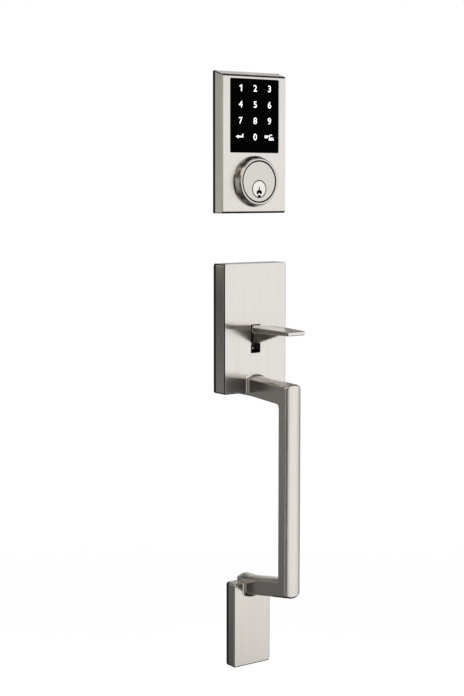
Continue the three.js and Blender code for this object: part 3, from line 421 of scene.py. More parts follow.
@dataclass(frozen=True)
class Board(Finish):
    """Circuit board: solder mask with copper tracks under it and silver pads."""

    mask: Colour
    copper: Colour

    def _lay(self, graph: Graph) -> None:
        """Lays the tracks under the mask.

        Args:
            graph: the material's empty graph.
        """
        dark, light, roughness, fibre_dulls = 0.8, 1.3, 0.42, 0.2
        tracks = graph.node("ShaderNodeTexBrick", {"offset": 0.37}, {
            "Vector": graph.place((260.0, 260.0, 260.0)), "Scale": 1.0, "Mortar Size": 0.05,
            "Brick Width": 2.3, "Row Height": 0.42,
        }, "Fac")
        fibre = graph.noise((1500.0, 1500.0, 400.0), 2.0)
        graph.surface({
            "Base Color": graph.mix(tracks, graph.mix(fibre, tint(self.mask, dark), tint(self.mask, light)),
                                    self.copper),
            "Roughness": roughness + (fibre - 0.5) * fibre_dulls,
            "Normal": graph.relief(tracks, 0.05, 0.4),
        })


NICKEL = (0.765, 0.732, 0.695)
# Near-black metal for hidden and recessed faces: painted shade in slots, bores, grooves, keyways and inside
# the shells.
PAINTED_SHADE_METAL = Metal("painted_shade_metal", (0.05, 0.05, 0.05), 0.6, streaks=0.2, relief=0.5)
SATIN_NICKEL = Metal("satin_nickel", NICKEL, 0.21, Grain.UPRIGHT, anisotropy=0.7, streaks=0.08)
# Turned nickel for the collar and cylinder: smooth and unbrushed, and a tenth darker than the plates' nickel
# as painted shade.
TURNED_NICKEL_SHADED = Metal("turned_nickel_shaded", tint(NICKEL, 0.90), 0.22, streaks=0.02, relief=0.04)
LEGEND = Lit("legend_white", (0.86, 0.88, 0.92), 1.0)
SLOT_FINISHES = {
    "satin_nickel": SATIN_NICKEL,
    "bright_nickel": Metal("bright_nickel", (0.86, 0.84, 0.80), 0.12, streaks=0.02, relief=0.05),
    "black_glass": Glass("black_glass", (0.0005, 0.0005, 0.0006), 0.05, 0.006),
    "zinc_steel": Metal("zinc_steel", (0.50, 0.51, 0.53), 0.38, Grain.ACROSS, 0.3, 0.1, 0.3, 0.12),
    "brass": Metal("brass", (0.66, 0.47, 0.20), 0.30, streaks=0.08, relief=0.2),
    "spring_steel": Metal("spring_steel", (0.34, 0.35, 0.37), 0.34, streaks=0.12),
    "black_rubber": Plastic("black_rubber", (0.018, 0.018, 0.018), 0.75, relief=0.5, specular=0.2),
    "white_plastic": Plastic("white_plastic", (0.78, 0.77, 0.74), 0.5, speckle=0.03),
    "board_green": Board("board_green", (0.015, 0.09, 0.04), (0.05, 0.17, 0.06)),
    "black_plastic": Plastic("black_plastic", (0.025, 0.025, 0.025), 0.45),
}


class Paints:
    """Makes each finish's material once and hands it out."""

    def __init__(self) -> None:
        """Starts with no materials."""
        self._made: dict[str, bpy.types.Material] = {}

    def of(self, finish: Finish) -> bpy.types.Material:
        """Material of a finish.

        Args:
            finish: the finish.

        Returns:
            Its material, the same one each time.
        """
        if finish.name not in self._made:
            self._made[finish.name] = finish.material()
        return self._made[finish.name]


# ---------------------------------------------------------------- outlines


def fillet(before: Point, corner: Point, after: Point, radius: float, steps: int = 6) -> list[Point]:
    """Arc that rounds a corner.

    Args:
        before: the outline's point before the corner.
        corner: the corner.
        after: the point after it.
        radius: the arc's radius; 0 keeps the corner.
        steps: pieces of the arc.

    Returns:
        The arc's points.
    """
    if radius <= 0:
        return [corner]
    at = Vector(corner)
    to_before = (Vector(before) - at).normalized()
    to_after = (Vector(after) - at).normalized()
    half = to_before.angle(to_after) / 2
    centre = at + (to_before + to_after).normalized() * (radius / math.sin(half))
    start = at + to_before * (radius / math.tan(half)) - centre
    end = at + to_after * (radius / math.tan(half)) - centre
    sweep = math.atan2(start.x * end.y - start.y * end.x, start.dot(end))
    turns = (Matrix.Rotation(sweep * k / steps, 2) for k in range(steps + 1))
    return [tuple(centre + turn @ start) for turn in turns]


def rounded(corners: list[tuple[float, float, float]], steps: int = 6) -> list[Point]:
    """Closed outline with round corners.

    Args:
        corners: each corner as two coordinates and a radius.
        steps: pieces of each arc.

    Returns:
        The outline's points.
    """
    outline: list[Point] = []
    for k, (x, y, radius) in enumerate(corners):
        before, after = corners[k - 1], corners[(k + 1) % len(corners)]
        outline += fillet(before[:2], (x, y), after[:2], radius, steps)
    return outline


def rectangle(half_width: float, bottom: float, top: float, radius: float, steps: int = 6) -> list[Point]:
    """Rectangle with round corners, centred on X."""
    w = half_width
    return rounded([(w, bottom, radius), (w, top, radius), (-w, top, radius), (-w, bottom, radius)], steps)


def circle(radius: float, steps: int, centre: Point = (0.0, 0.0)) -> list[Point]:
    """Points round a circle."""
    angles = (2 * math.pi * k / steps for k in range(steps))
    return [(centre[0] + radius * math.cos(a), centre[1] + radius * math.sin(a)) for a in angles]


@dataclass(frozen=True)
class Box:
    """Extents of a CAD node at rest, in millimetres."""

    x0: float
    x1: float
    y0: float
    y1: float
    z0: float
    z1: float

    @classmethod
    def of(cls, node: str) -> "Box":
        """Extents of the node with that name."""
        low, high = (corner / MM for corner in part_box(node))
        return cls(low.x, high.x, low.y, high.y, low.z, high.z)

    @property
    def middle_y(self) -> float:
        """Depth of the middle."""
        return (self.y0 + self.y1) / 2

    @property
    def middle_z(self) -> float:
        """Height of the middle."""
        return (self.z0 + self.z1) / 2

    @property
    def centre(self) -> Point:
        """Middle as seen from the front, in X and Z."""
        return (self.x0 + self.x1) / 2, self.middle_z

    @property
    def half_width(self) -> float:
        """Half of the width along X."""
        return (self.x1 - self.x0) / 2

    def shrunk(self, gap: float) -> "Box":
        """Box with all its sides moved in."""
        return Box(self.x0 + gap, self.x1 - gap, self.y0 + gap, self.y1 - gap, self.z0 + gap, self.z1 - gap)

    def holds(self, point: Vector) -> bool:
        """Whether a point lies inside."""
        x, y, z = point
        return self.x0 < x < self.x1 and self.y0 < y < self.y1 and self.z0 < z < self.z1


# ---------------------------------------------------------------- solids


class Axis(Enum):
    """Axis along which an outline is drawn out; the outline's own axes are the other two."""

    X = 0
    Y = 1
    Z = 2

    def at(self, point: Point, along: float) -> Vector:
        """The point in space for an outline's point at a place along the axis."""
        u, v = point
        return Vector({Axis.X: (along, u, v), Axis.Y: (u, along, v), Axis.Z: (u, v, along)}[self])

    def ring(self, outline: list[Point], along: float) -> list[Vector]:
        """The outline in space at a place along the axis."""
        return [self.at(point, along) for point in outline]


class Solid:
    """A closed mesh in millimetres that is cut, joined and softened before it is placed."""

    def __init__(self, mesh: bmesh.types.BMesh) -> None:
        """Takes over a bmesh and turns its faces outward.

        Args:
            mesh: a closed mesh; it is freed.
        """
        bmesh.ops.remove_doubles(mesh, verts=mesh.verts, dist=1e-5)
        bmesh.ops.recalc_face_normals(mesh, faces=mesh.faces)
        if mesh.calc_volume(signed=True) < 0:
            bmesh.ops.reverse_faces(mesh, faces=mesh.faces)
        data = bpy.data.meshes.new("solid")
        mesh.to_mesh(data)
        mesh.free()
        self.object = bpy.data.objects.new("solid", data)
        bpy.context.scene.collection.objects.link(self.object)

    @classmethod
    def loft(cls, rings: list[list[Vector]], ring_ends: bool = False) -> "Solid":
        """Skin through rings of equal count.

        Args:
            rings: the rings in order.
            ring_ends: whether the last ring joins the first, instead of a cap at each end.

        Returns:
            The solid.
        """
        mesh = bmesh.new()
        rows = [[mesh.verts.new(point) for point in ring] for ring in rings]
        pairs = list(zip(rows, rows[1:])) + ([(rows[-1], rows[0])] if ring_ends else [])
        for low, high in pairs:
            for k in range(len(low)):
                mesh.faces.new((low[k - 1], low[k], high[k], high[k - 1]))
        if not ring_ends:
            mesh.faces.new(rows[0])
            mesh.faces.new(rows[-1])
        return cls(mesh)

    @classmethod
    def prism(cls, outline: list[Point], axis: Axis, start: float, end: float) -> "Solid":
        """Outline drawn out along an axis."""
        return cls.loft([axis.ring(outline, place) for place in (start, end)])

    @classmethod
    def box(cls, x0: float, x1: float, y0: float, y1: float, z0: float, z1: float) -> "Solid":
        """Box between two corners."""
        return cls.prism([(x0, z0), (x1, z0), (x1, z1), (x0, z1)], Axis.Y, y0, y1)

    @classmethod
    def rod(cls, radius: float, start: float, end: float, centre: Point, axis: Axis = Axis.Y,
            steps: int = 40) -> "Solid":
        """Round rod along an axis."""
        return cls.prism(circle(radius, steps, centre), axis, start, end)

    @classmethod
    def turned(cls, profile: list[Point], centre: Point, steps: int = 96) -> "Solid":
        """Closed profile turned about an axis along Y.

        Args:
            profile: points of radius and Y.
            centre: the axis's place in X and Z.
            steps: facets round the axis.

        Returns:
            The solid.
        """
        rings = []
        for k in range(steps):
            angle = 2 * math.pi * k / steps
            rings.append([Vector((centre[0] + radius * math.cos(angle), y,
                                  centre[1] + radius * math.sin(angle))) for radius, y in profile])
        return cls.loft(rings, ring_ends=True)

    def _apply(self) -> None:
        """Applies the modifiers."""
        graph = bpy.context.evaluated_depsgraph_get()
        data = bpy.data.meshes.new_from_object(self.object.evaluated_get(graph))
        self.object.modifiers.clear()
        old, self.object.data = self.object.data, data
        bpy.data.meshes.remove(old)

    def _combine(self, other: "Solid", operation: str) -> None:
        """One boolean step, after which the other solid is gone.

        Args:
            other: the solid that is taken in.
            operation: the modifier's operation.
        """
        step = self.object.modifiers.new("step", "BOOLEAN")
        step.operation = operation
        step.solver = "EXACT"
        step.object = other.object
        self._apply()
        data = other.object.data
        bpy.data.objects.remove(other.object)
        bpy.data.meshes.remove(data)

    def cut(self, *others: "Solid") -> "Solid":
        """Takes other solids out of this one."""
        for other in others:
            self._combine(other, "DIFFERENCE")
        return self

    def join(self, *others: "Solid") -> "Solid":
        """Joins other solids to this one."""
        for other in others:
            self._combine(other, "UNION")
        return self

    def soften(self, width: float, segments: int = 3, angle: float = 30.0) -> "Solid":
        """Rounds the sharp edges.

        Args:
            width: the round's width.
            segments: pieces of the round.
            angle: an edge that turns by less stays.

        Returns:
            The solid itself.
        """
        bevel = self.object.modifiers.new("soften", "BEVEL")
        bevel.width = width
        bevel.segments = segments
        bevel.limit_method = "ANGLE"
        bevel.angle_limit = math.radians(angle)
        self._apply()
        return self

    def add_screw_boss(self, screw: Box, root_y: float) -> None:
        """Adds the boss behind a front wall that a plate screw runs up, and its hole."""
        self.join(Solid.rod(PLATE_BOSS_R, root_y, PLATE_BOSS_Y, screw.centre, steps=24))
        self.cut(Solid.rod(PLATE_SCREW_R, screw.y0 - 1, 0, screw.centre, steps=24))

    def paint(self, outside: bpy.types.Material, inside: bpy.types.Material,
              is_inside: Callable[[Vector], bool]) -> None:
        """Gives the solid its material, and a second, dark one that paints shade on its hidden and recessed
        faces.

        Args:
            outside: the main material.
            inside: the material of the hidden faces, near-black to paint shade there.
            is_inside: test on the middle of a face.
        """
        data = self.object.data
        data.materials.clear()
        data.materials.append(outside)
        data.materials.append(inside)
        for face in data.polygons:
            face.material_index = 1 if is_inside(face.center) else 0

    def place(self, name: str, material: bpy.types.Material, slot: str, body: str,
              replaces: tuple[str, ...] = (), sharp: float = 32.0) -> bpy.types.Object:
        """Turns the solid into a piece of the model.

        Args:
            name: the piece's name.
            material: the material of its first slot.
            slot: the record's material slot; not used.
            body: the CAD body that it rides on.
            replaces: the CAD nodes that it stands for.
            sharp: edges that turn by more than this stay sharp.

        Returns:
            The finished object.
        """
        piece = self.object
        piece.name = piece.data.name = name
        piece.data.transform(Matrix.Scale(MM, 4))
        if len(piece.data.materials):
            piece.data.materials[0] = material
        else:
            piece.data.materials.append(material)
        piece.data.shade_smooth()
        piece.data.set_sharp_from_angle(angle=math.radians(sharp))
        normals = piece.modifiers.new("normals", "WEIGHTED_NORMAL")
        normals.keep_sharp = True
        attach(piece, body)
        if replaces:
            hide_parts(*replaces)
        LOG.info("%s: %d faces", name, len(piece.data.polygons))
        return piece


@dataclass
class Shell:
    """Open-backed shell with a small chamfer, itself rounded, round its front."""

    half_width: float
    bottom: float
    top: float
    front_y: float
    back_y: float
    front_wall: float
    edge: float
    side_wall: float = 2.2
    corner: float = 2.2
    edge_round: float = 0.5
    side_share: float = 1.0
    top_share: float = 1.0
    draft: float = 0.0
    plate: float = 1.5
    rebate: float = 2.2
    rebate_step: float = 0.3
    least_corner: float = 0.3
    hollow_end_y: float = 1.0

    def _ring(self, inset: float, y: float, lean: float = 0.0) -> list[Vector]:
        """Ring of the outside.

        Args:
            inset: how far it stands in from the widest outline.
            y: its depth.
            lean: how far the draft raises its top.

        Returns:
            The ring's points.
        """
        return Axis.Y.ring(rectangle(
            self.half_width - inset * self.side_share, self.bottom + inset,
            self.top - inset * self.top_share + lean, max(self.corner - inset, self.least_corner)), y)

    def _neck_ring(self, y: float, lean: float) -> list[Vector]:
        """Ring of the rebate for the gasket's lip, which stops short of the top."""
        w, low = self.half_width - self.rebate_step, self.bottom + self.rebate_step
        return Axis.Y.ring(rectangle(w, low, self.top + lean, self.corner), y)

    def _hollow_ring(self, y: float, lean: float) -> list[Vector]:
        """Ring of the inside."""
        wall = self.side_wall
        return Axis.Y.ring(rectangle(self.half_width - wall, self.bottom + wall, self.top - wall + lean,
                                     self.corner), y)

    def solid(self) -> Solid:
        """Builds the shell.

        Returns:
            The shell, hollow to the back.
        """
        shoulder = (0.0, self.front_y + self.edge)
        lip = (self.edge, self.front_y)
        past = 4.0
        profile = [(0.0, self.back_y - self.rebate)]
        profile += fillet((0.0, self.back_y), shoulder, lip, self.edge_round, 4)
        profile += fillet(shoulder, lip, (past, self.front_y), self.edge_round, 4)

        def lean(y: float) -> float:
            """How far the draft has raised the top at a depth."""
            return self.draft * max(y - shoulder[1], 0.0) / (self.back_y - shoulder[1])

        rings = [self._neck_ring(y, lean(y)) for y in (self.back_y, self.back_y - self.rebate)]
        rings += [self._ring(inset, y, lean(y)) for inset, y in profile]
        hollow = [self._hollow_ring(self.hollow_end_y, self.draft),
                  self._hollow_ring(-self.plate - SEAT_GAP, self.draft),
                  self._hollow_ring(self.front_y + self.front_wall, 0.0)]
        return Solid.loft(rings).cut(Solid.loft(hollow))


def flared(outline: list[Point], wide: list[Point], front_y: float, flare: float, end_y: float) -> Solid:
    """Cutter along Y with a wider mouth.

    Args:
        outline: the cutter's outline.
        wide: the mouth's outline.
        front_y: depth of the face that it cuts into.
        flare: the length over which the mouth widens.
        end_y: where the cutter ends.

    Returns:
        The cutter.
    """
    return Solid.loft([Axis.Y.ring(wide, front_y - flare), Axis.Y.ring(wide, front_y),
                       Axis.Y.ring(outline, front_y + flare), Axis.Y.ring(outline, end_y)])


# ---------------------------------------------------------------- keypad unit


@dataclass
class KeypadUnit:
    """Housing with the black glass lens and its lit legends."""

    paints: Paints
    front_wall: float = 3.0
    edge: float = 1.7
    side_share: float = 0.5
    edge_round: float = 0.35
    corner: float = 1.0
    draft: float = 3.3
    lens_gap: float = 0.2
    lens_ledge: float = 3.0
    lens_corner: float = 0.8
    lens_edge: float = 0.25
    pocket_flare: float = 0.25
    cylinder_boss_r: float = 19.0
    cylinder_boss_y: float = -6.0
    board_boss_r: float = 2.2
    board_stack: float = 3.2
    # How far in from the outside the painted shade on inner faces begins.
    shade_paint_margin: float = 0.6
    legend_pitch: Point = (15.4, 13.8)
    legend_top_inset: float = 7.7
    legend_shift: float = 0.6
    digit_size: float = 7.8
    digit_width: float = 1.04
    digit_weight: float = 0.07
    icon_line: float = 0.65
    print_height: float = 0.02
    housing: Box = field(init=False)
    lens: Box = field(init=False)
    cylinder: Box = field(init=False)

    def __post_init__(self) -> None:
        """Reads the places that other pieces set."""
        self.housing = Box.of("keypad_housing")
        self.lens = Box.of("touch_lens")
        self.cylinder = Box.of("cylinder_collar")

    def build(self) -> None:
        """Makes the unit's pieces."""
        self._housing()
        self._lens()
        self._legends()

    def _housing(self) -> None:
        """Die-cast housing with its lens pocket, cylinder hole and inner bosses."""
        box = self.housing
        inner_y = box.y0 + self.front_wall
        body = Shell(box.half_width, box.z0, box.z1 - self.draft, box.y0, box.y1, self.front_wall,
                     self.edge, side_share=self.side_share, corner=self.corner,
                     edge_round=self.edge_round, draft=self.draft).solid()
        axis_z = self.cylinder.middle_z
        wall = inner_y - 1
        body.join(Solid.rod(self.cylinder_boss_r, wall, self.cylinder_boss_y, (0, axis_z), steps=64))
        for k in range(1, 5):
            screw = Box.of(f"board_screw_{k}")
            end_y = screw.y1 - self.board_stack
            body.join(Solid.rod(self.board_boss_r, wall, end_y, screw.centre, steps=24))
        for hand in ("left", "right"):
            body.add_screw_boss(Box.of(f"keypad_plate_screw_{hand}"), wall)
        hole_r = Box.of("cylinder_body").half_width - LockCylinder.cylinder_step
        body.cut(Solid.rod(hole_r, box.y0 - 1, 1, (0, axis_z), steps=96))
        self._cut_pocket(body)
        paint = self.paints.of(SATIN_NICKEL)
        front = Box(box.x0, box.x1, box.y0, box.y1, box.z0, box.z1 - self.draft)
        # Faces inside the housing, its pocket and its cylinder hole are painted near-black as shade.
        body.paint(paint, self.paints.of(PAINTED_SHADE_METAL), front.shrunk(self.shade_paint_margin).holds)
        body.place("keypad_housing_cast", paint, "satin_nickel", "lockset", ("keypad_housing",))

    def _cut_pocket(self, body: Solid) -> None:
        """Cuts the lens's pocket and the opening behind its ledge.

        Args:
            body: the housing.
        """
        lens, gap, flare, ledge = self.lens, self.lens_gap, self.pocket_flare, self.lens_ledge
        w, low, high, corner = lens.half_width + gap, lens.z0 - gap, lens.z1 + gap, self.lens_corner + gap
        mouth = rectangle(w + flare, low - flare, high + flare, corner + flare)
        body.cut(flared(rectangle(w, low, high, corner), mouth, self.housing.y0, flare, lens.y1 + gap))
        opening = rectangle(w - ledge, low + ledge, high - ledge, corner)
        body.cut(Solid.prism(opening, Axis.Y, self.housing.y0 - 1, 0))

    def _lens(self) -> None:
        """Glass lens with a ground edge."""
        lens = self.lens
        body = Solid.prism(rectangle(lens.half_width, lens.z0, lens.z1, self.lens_corner), Axis.Y,
                           lens.y0, lens.y1)
        body.soften(self.lens_edge, 3)
        paint = self.paints.of(SLOT_FINISHES["black_glass"])
        body.place("touch_glass", paint, "black_glass", "lockset", ("touch_lens",))

    def _key_centre(self, row: int, column: int) -> Point:
        """Middle of a key's legend."""
        top = self.lens.z1 + self.lens_gap - self.legend_top_inset
        return (column - 1) * self.legend_pitch[0] + self.legend_shift, top - row * self.legend_pitch[1]

    def _legends(self) -> None:
        """Ten digits, the enter arrow and the two padlocks."""
        self._one(self._key_centre(0, 0))
        for k, digit in enumerate("23456789", 1):
            self._digit(digit, self._key_centre(k // 3, k % 3))
        self._digit("0", self._key_centre(3, 1))
        self._enter_arrow(self._key_centre(3, 0))
        self._padlocks(self._key_centre(3, 2))

    def _digit(self, digit: str, centre: Point) -> None:
        """One digit as a thin solid print.

        Args:
            digit: the character.
            centre: the middle of the print.
        """
        curve = bpy.data.curves.new("digit", "FONT")
        curve.body = digit
        curve.size = self.digit_size
        curve.offset = self.digit_weight
        curve.extrude = self.print_height
        curve.resolution_u = 8
        text = bpy.data.objects.new("digit", curve)
        bpy.context.scene.collection.objects.link(text)
        graph = bpy.context.evaluated_depsgraph_get()
        mesh = bmesh.new()
        data = bpy.data.meshes.new_from_object(text.evaluated_get(graph))
        mesh.from_mesh(data)
        bpy.data.objects.remove(text)
        bpy.data.curves.remove(curve)
        bpy.data.meshes.remove(data)
        xs, ys = ([vertex.co[axis] for vertex in mesh.verts] for axis in (0, 1))
        middle = Vector(((min(xs) + max(xs)) / 2, (min(ys) + max(ys)) / 2, 0))
        for vertex in mesh.verts:
            x, y, z = vertex.co - middle
            vertex.co = (centre[0] + x * self.digit_width, self.lens.y0 - z, centre[1] + y)
        self._light(Solid(mesh), digit)

    def _light(self, legend: Solid, name: str) -> None:
        """Names a finished legend and gives it its light."""
        legend.place(f"legend_{name}", self.paints.of(LEGEND), "white_plastic", "lockset")

    def _print(self, outline: list[Point], centre: Point) -> Solid:
        """Thin solid print.

        Args:
            outline: the print's outline about its middle.
            centre: the middle.

        Returns:
            The print.
        """
        moved = [(x + centre[0], z + centre[1]) for x, z in outline]
        y = self.lens.y0
        return Solid.prism(moved, Axis.Y, y - self.print_height, y + self.print_height)

    def _one(self, centre: Point) -> None:
        """Figure one with its flag."""
        shape = [(0.2, -2.85), (1.4, -2.85), (1.4, 2.85), (0.55, 2.85), (0.0, 2.2), (-1.3, 1.6),
                 (-1.3, 0.75), (-0.5, 0.95), (0.2, 1.3)]
        self._light(self._print(shape, centre), "1")

    def _enter_arrow(self, centre: Point) -> None:
        """Bent arrow that points left.

        Args:
            centre: the middle of the key.
        """
        t, level, half = self.icon_line, 0.1, 1.45
        stem = 1.7 * t
        left, neck, right, rise = -5.2, -2.2, 2.7, 2.4
        outline = [(left, level), (neck, level - half), (neck, level - t), (right, level - t), (right, rise),
                   (right - stem, rise), (right - stem, level + t), (neck, level + t),
                   (neck, level + half)]
        self._light(self._print(outline, centre), "enter")

    def _padlocks(self, centre: Point) -> None:
        """Locked padlock lying to the left, and the open padlock at the lower right.

        Args:
            centre: the middle of the key.
        """
        t = self.icon_line
        left = self._print(rectangle(1.5, -1.1, 1.15, 0.3, 3), (centre[0] - 3.6, centre[1] + 0.35))
        bow = [(-1.9, 0.75), (0.4, 1.2), (1.1, 1.2), (1.1, 0.45), (0.5, 0.25), (-1.9, -0.05)]
        left.join(self._print(bow, (centre[0] - 0.6, centre[1] + 0.3)))
        self._light(left, "closed_lock")
        case = [(-2.6, -1.15), (2.9, -1.15), (2.2, 1.15), (-2.0, 1.15)]
        right = self._print(case, (centre[0] + 1.9, centre[1] - 1.45))
        arc = [math.radians(180 - 12 * k) for k in range(14)]
        r = 1.75
        outer = [(r * math.cos(a), r * math.sin(a)) for a in arc]
        inner = [((r - t) * math.cos(a), (r - t) * math.sin(a)) for a in reversed(arc)]
        shackle = [(-r, -1.4)] + outer + inner + [(-r + t, -1.4)]
        right.join(self._print(shackle, (centre[0] + 1.5, centre[1] + 0.75)))
        self._light(right, "open_lock")


# ---------------------------------------------------------------- lock cylinder


@dataclass
class LockCylinder:
    """Guard collar, cylinder and key plug."""

    paints: Paints
    rim_inset: float = 1.8
    groove: float = 1.2
    rim_edge: float = 0.7
    base_land: float = 1.2
    lip: float = 2.6
    cylinder_step: float = 1.2
    sunk_ring: float = 0.8
    sunk_depth: float = 1.4
    plug_side: float = 1.6
    chamber_r: float = 1.45
    body_step: float = 1.5
    bore_step: float = 0.4
    counterbore: float = 1.8
    plug_step: float = 0.55
    neck_r: float = 4.0
    tail_r: float = 5.3
    tail_length: float = 2.1
    keyway_end_y: float = 8.0
    # Depth where the painted shade on the plug's inner faces ends.
    shade_paint_end_y: float = 9.0
    face_margin: float = 0.14
    wall_margin: float = 0.1
    bore_margin: float = 0.05
    steps: int = 144

    def build(self) -> None:
        """Makes the three turned pieces."""
        self._collar()
        self._body()
        self._plug()

    def _collar(self) -> None:
        """Tapered collar, polished over at its rim."""
        box = Box.of("cylinder_collar")
        head = Box.of("cylinder_body").half_width
        bore, base, rim = head + self.groove, box.half_width, box.half_width - self.rim_inset
        hole = head - self.cylinder_step
        corners = [
            (hole, box.y1, 0.0), (base, box.y1, 0.1), (base, box.y1 - self.base_land, 0.5),
            (rim + 0.25, box.y0 + 1.6, 1.5), (rim, box.y0 + self.rim_edge, 0.4),
            (rim - self.rim_edge, box.y0, 0.6), (bore, box.y0, 0.08),
            (bore, box.y1 - self.lip, 0.0), (hole, box.y1 - self.lip, 0.0),
        ]
        centre_z = box.middle_z
        body = Solid.turned(rounded(corners, 5), (0, centre_z), self.steps)
        paint = self.paints.of(TURNED_NICKEL_SHADED)
        # The bore wall inside the groove is painted near-black as shade.
        body.paint(paint, self.paints.of(PAINTED_SHADE_METAL),
                   lambda p: math.hypot(p.x, p.z - centre_z) < bore + self.bore_margin
                   and p.y > box.y0 + self.wall_margin)
        body.place("guard_collar", paint, "satin_nickel", "lockset", ("cylinder_collar",))

    def _drill_chambers(self, body: Solid, bottom: float, top: float) -> None:
        """Drills the five pin chambers.

        Args:
            body: the plug or the cylinder.
            bottom: height where they start.
            top: height where they end.
        """
        for k in range(1, 6):
            centre = (0, Box.of(f"key_pin_{k}").middle_y)
            body.cut(Solid.rod(self.chamber_r, bottom, top, centre, Axis.Z, 32))

    def _body(self) -> None:
        """Cylinder with its head disc, plug bore, counterbore and pin chambers."""
        box, plug, collar = Box.of("cylinder_body"), Box.of("plug"), Box.of("cylinder_collar")
        head_r = box.half_width
        body_r = head_r - self.body_step
        shoulder = collar.y1 - self.lip - SEAT_GAP
        corners = [(PINHOLE_R, box.y0, 0.0), (head_r, box.y0, 0.15), (head_r, shoulder, 0.1),
                   (body_r, shoulder, 0.0), (body_r, box.y1, 0.4), (PINHOLE_R, box.y1, 0.0)]
        centre_z = collar.middle_z
        body = Solid.turned(rounded(corners, 4), (0, centre_z), self.steps)
        plug_r = plug.half_width
        for radius, end_y in ((plug_r - self.bore_step, box.y1 + 1),
                              (plug_r + SLIP_GAP, box.y0 + self.counterbore),
                              (plug_r + self.sunk_ring, box.y0 + self.sunk_depth)):
            body.cut(Solid.rod(radius, box.y0 - 1, end_y, (0, plug.middle_z), steps=96))
        cap = Box.of("chamber_cap")
        self._drill_chambers(body, plug.middle_z, cap.z0 + 1)
        gap = SLIP_GAP
        body.cut(Solid.box(cap.x0 - gap, cap.x1 + gap, cap.y0 - gap, cap.y1 + gap, cap.z0 - SEAT_GAP,
                           centre_z + head_r + 1))
        paint = self.paints.of(TURNED_NICKEL_SHADED)
        # The head's side in the groove and the plug's bores and sunk ring are painted near-black as shade.
        body.paint(paint, self.paints.of(PAINTED_SHADE_METAL), lambda p: p.y > box.y0 + self.face_margin and (
            math.hypot(p.x, p.z - centre_z) > head_r - self.wall_margin
            or math.hypot(p.x, p.z - plug.middle_z) < plug_r + self.sunk_ring + self.bore_margin))
        body.place("cylinder_case", paint, "satin_nickel", "lockset", ("cylinder_body",))

    @staticmethod
    def _keyway(z: float) -> list[Point]:
        """Outline of the keyway: a slit over a domed ward with a nose in its foot.

        Args:
            z: height of the plug's axis.

        Returns:
            The outline.
        """
        slit, dome, nose = 0.5, 2.95, 0.7
        top_z, crown_z, spring_z, foot_z, nose_z = 2.1, -0.7, -2.9, -4.4, -3.3
        turns = (math.radians(a) for a in (12, 28, 44, 60, 75, 90))
        right = [(slit, top_z), (slit, crown_z)]
        right += [(dome * math.sin(a), spring_z + (crown_z - spring_z) * math.cos(a)) for a in turns]
        right += [(dome - 0.25, foot_z), (nose, foot_z + 0.15), (nose * 0.7, nose_z)]
        left = [(-x, y) for x, y in reversed(right)]
        return [(x, y + z) for x, y in left + right]

    @staticmethod
    def _notch(z: float) -> list[Point]:
        """Outline of the small notch in the plug's rim under the keyway.

        Args:
            z: height of the plug's axis.

        Returns:
            The outline.
        """
        foot, shoulder, crown = (1.75, 7.5), (1.5, 5.3), (0.9, 5.0)
        right = [(x, z - drop) for x, drop in (foot, shoulder, crown)]
        return [(-foot[0], z - foot[1])] + right + [(-x, y) for x, y in reversed(right[1:])]

    def _plug(self) -> None:
        """Polished plug with its warded keyway."""
        box, case = Box.of("plug"), Box.of("cylinder_body")
        head_r = box.half_width
        plug_r, neck_r, tail_r = head_r - self.plug_step, self.neck_r, self.tail_r
        neck_y = case.y1 + RUN_GAP
        tail_y = box.y1 - self.tail_length
        side_y = box.y0 + self.plug_side
        corners = [(PINHOLE_R, box.y0, 0.0), (head_r, box.y0, 0.15), (head_r, side_y, 0.1),
                   (plug_r, side_y, 0.0), (plug_r, neck_y, 0.2), (neck_r, neck_y, 0.0), (neck_r, tail_y, 0.0),
                   (tail_r, tail_y, 0.2), (tail_r, box.y1, 0.3), (PINHOLE_R, box.y1, 0.0)]
        z = box.middle_z
        body = Solid.turned(rounded(corners, 4), (0, z), self.steps)
        body.cut(Solid.prism(self._keyway(z), Axis.Y, box.y0 - 1, self.keyway_end_y))
        body.cut(Solid.prism(self._notch(z), Axis.Y, box.y0 - 1, box.y0 + self.plug_side))
        self._drill_chambers(body, z, z + head_r + 1)
        blade = Box.of("tailpiece")
        gap = RUN_GAP
        body.cut(Solid.box(blade.x0 - gap, blade.x1 + gap, blade.y0 - gap, box.y1 + 1, blade.z0 - gap,
                           blade.z1 + gap))
        paint = self.paints.of(SLOT_FINISHES["bright_nickel"])
        # Faces behind the plug's front up to a set depth, its side, notch, keyway and chambers, are painted
        # near-black as shade.
        body.paint(paint, self.paints.of(PAINTED_SHADE_METAL),
                   lambda p: box.y0 + self.face_margin < p.y < self.shade_paint_end_y)
        body.place("key_plug_turned", paint, "bright_nickel", "key_plug", ("plug",))


# ---------------------------------------------------------------- pull handle


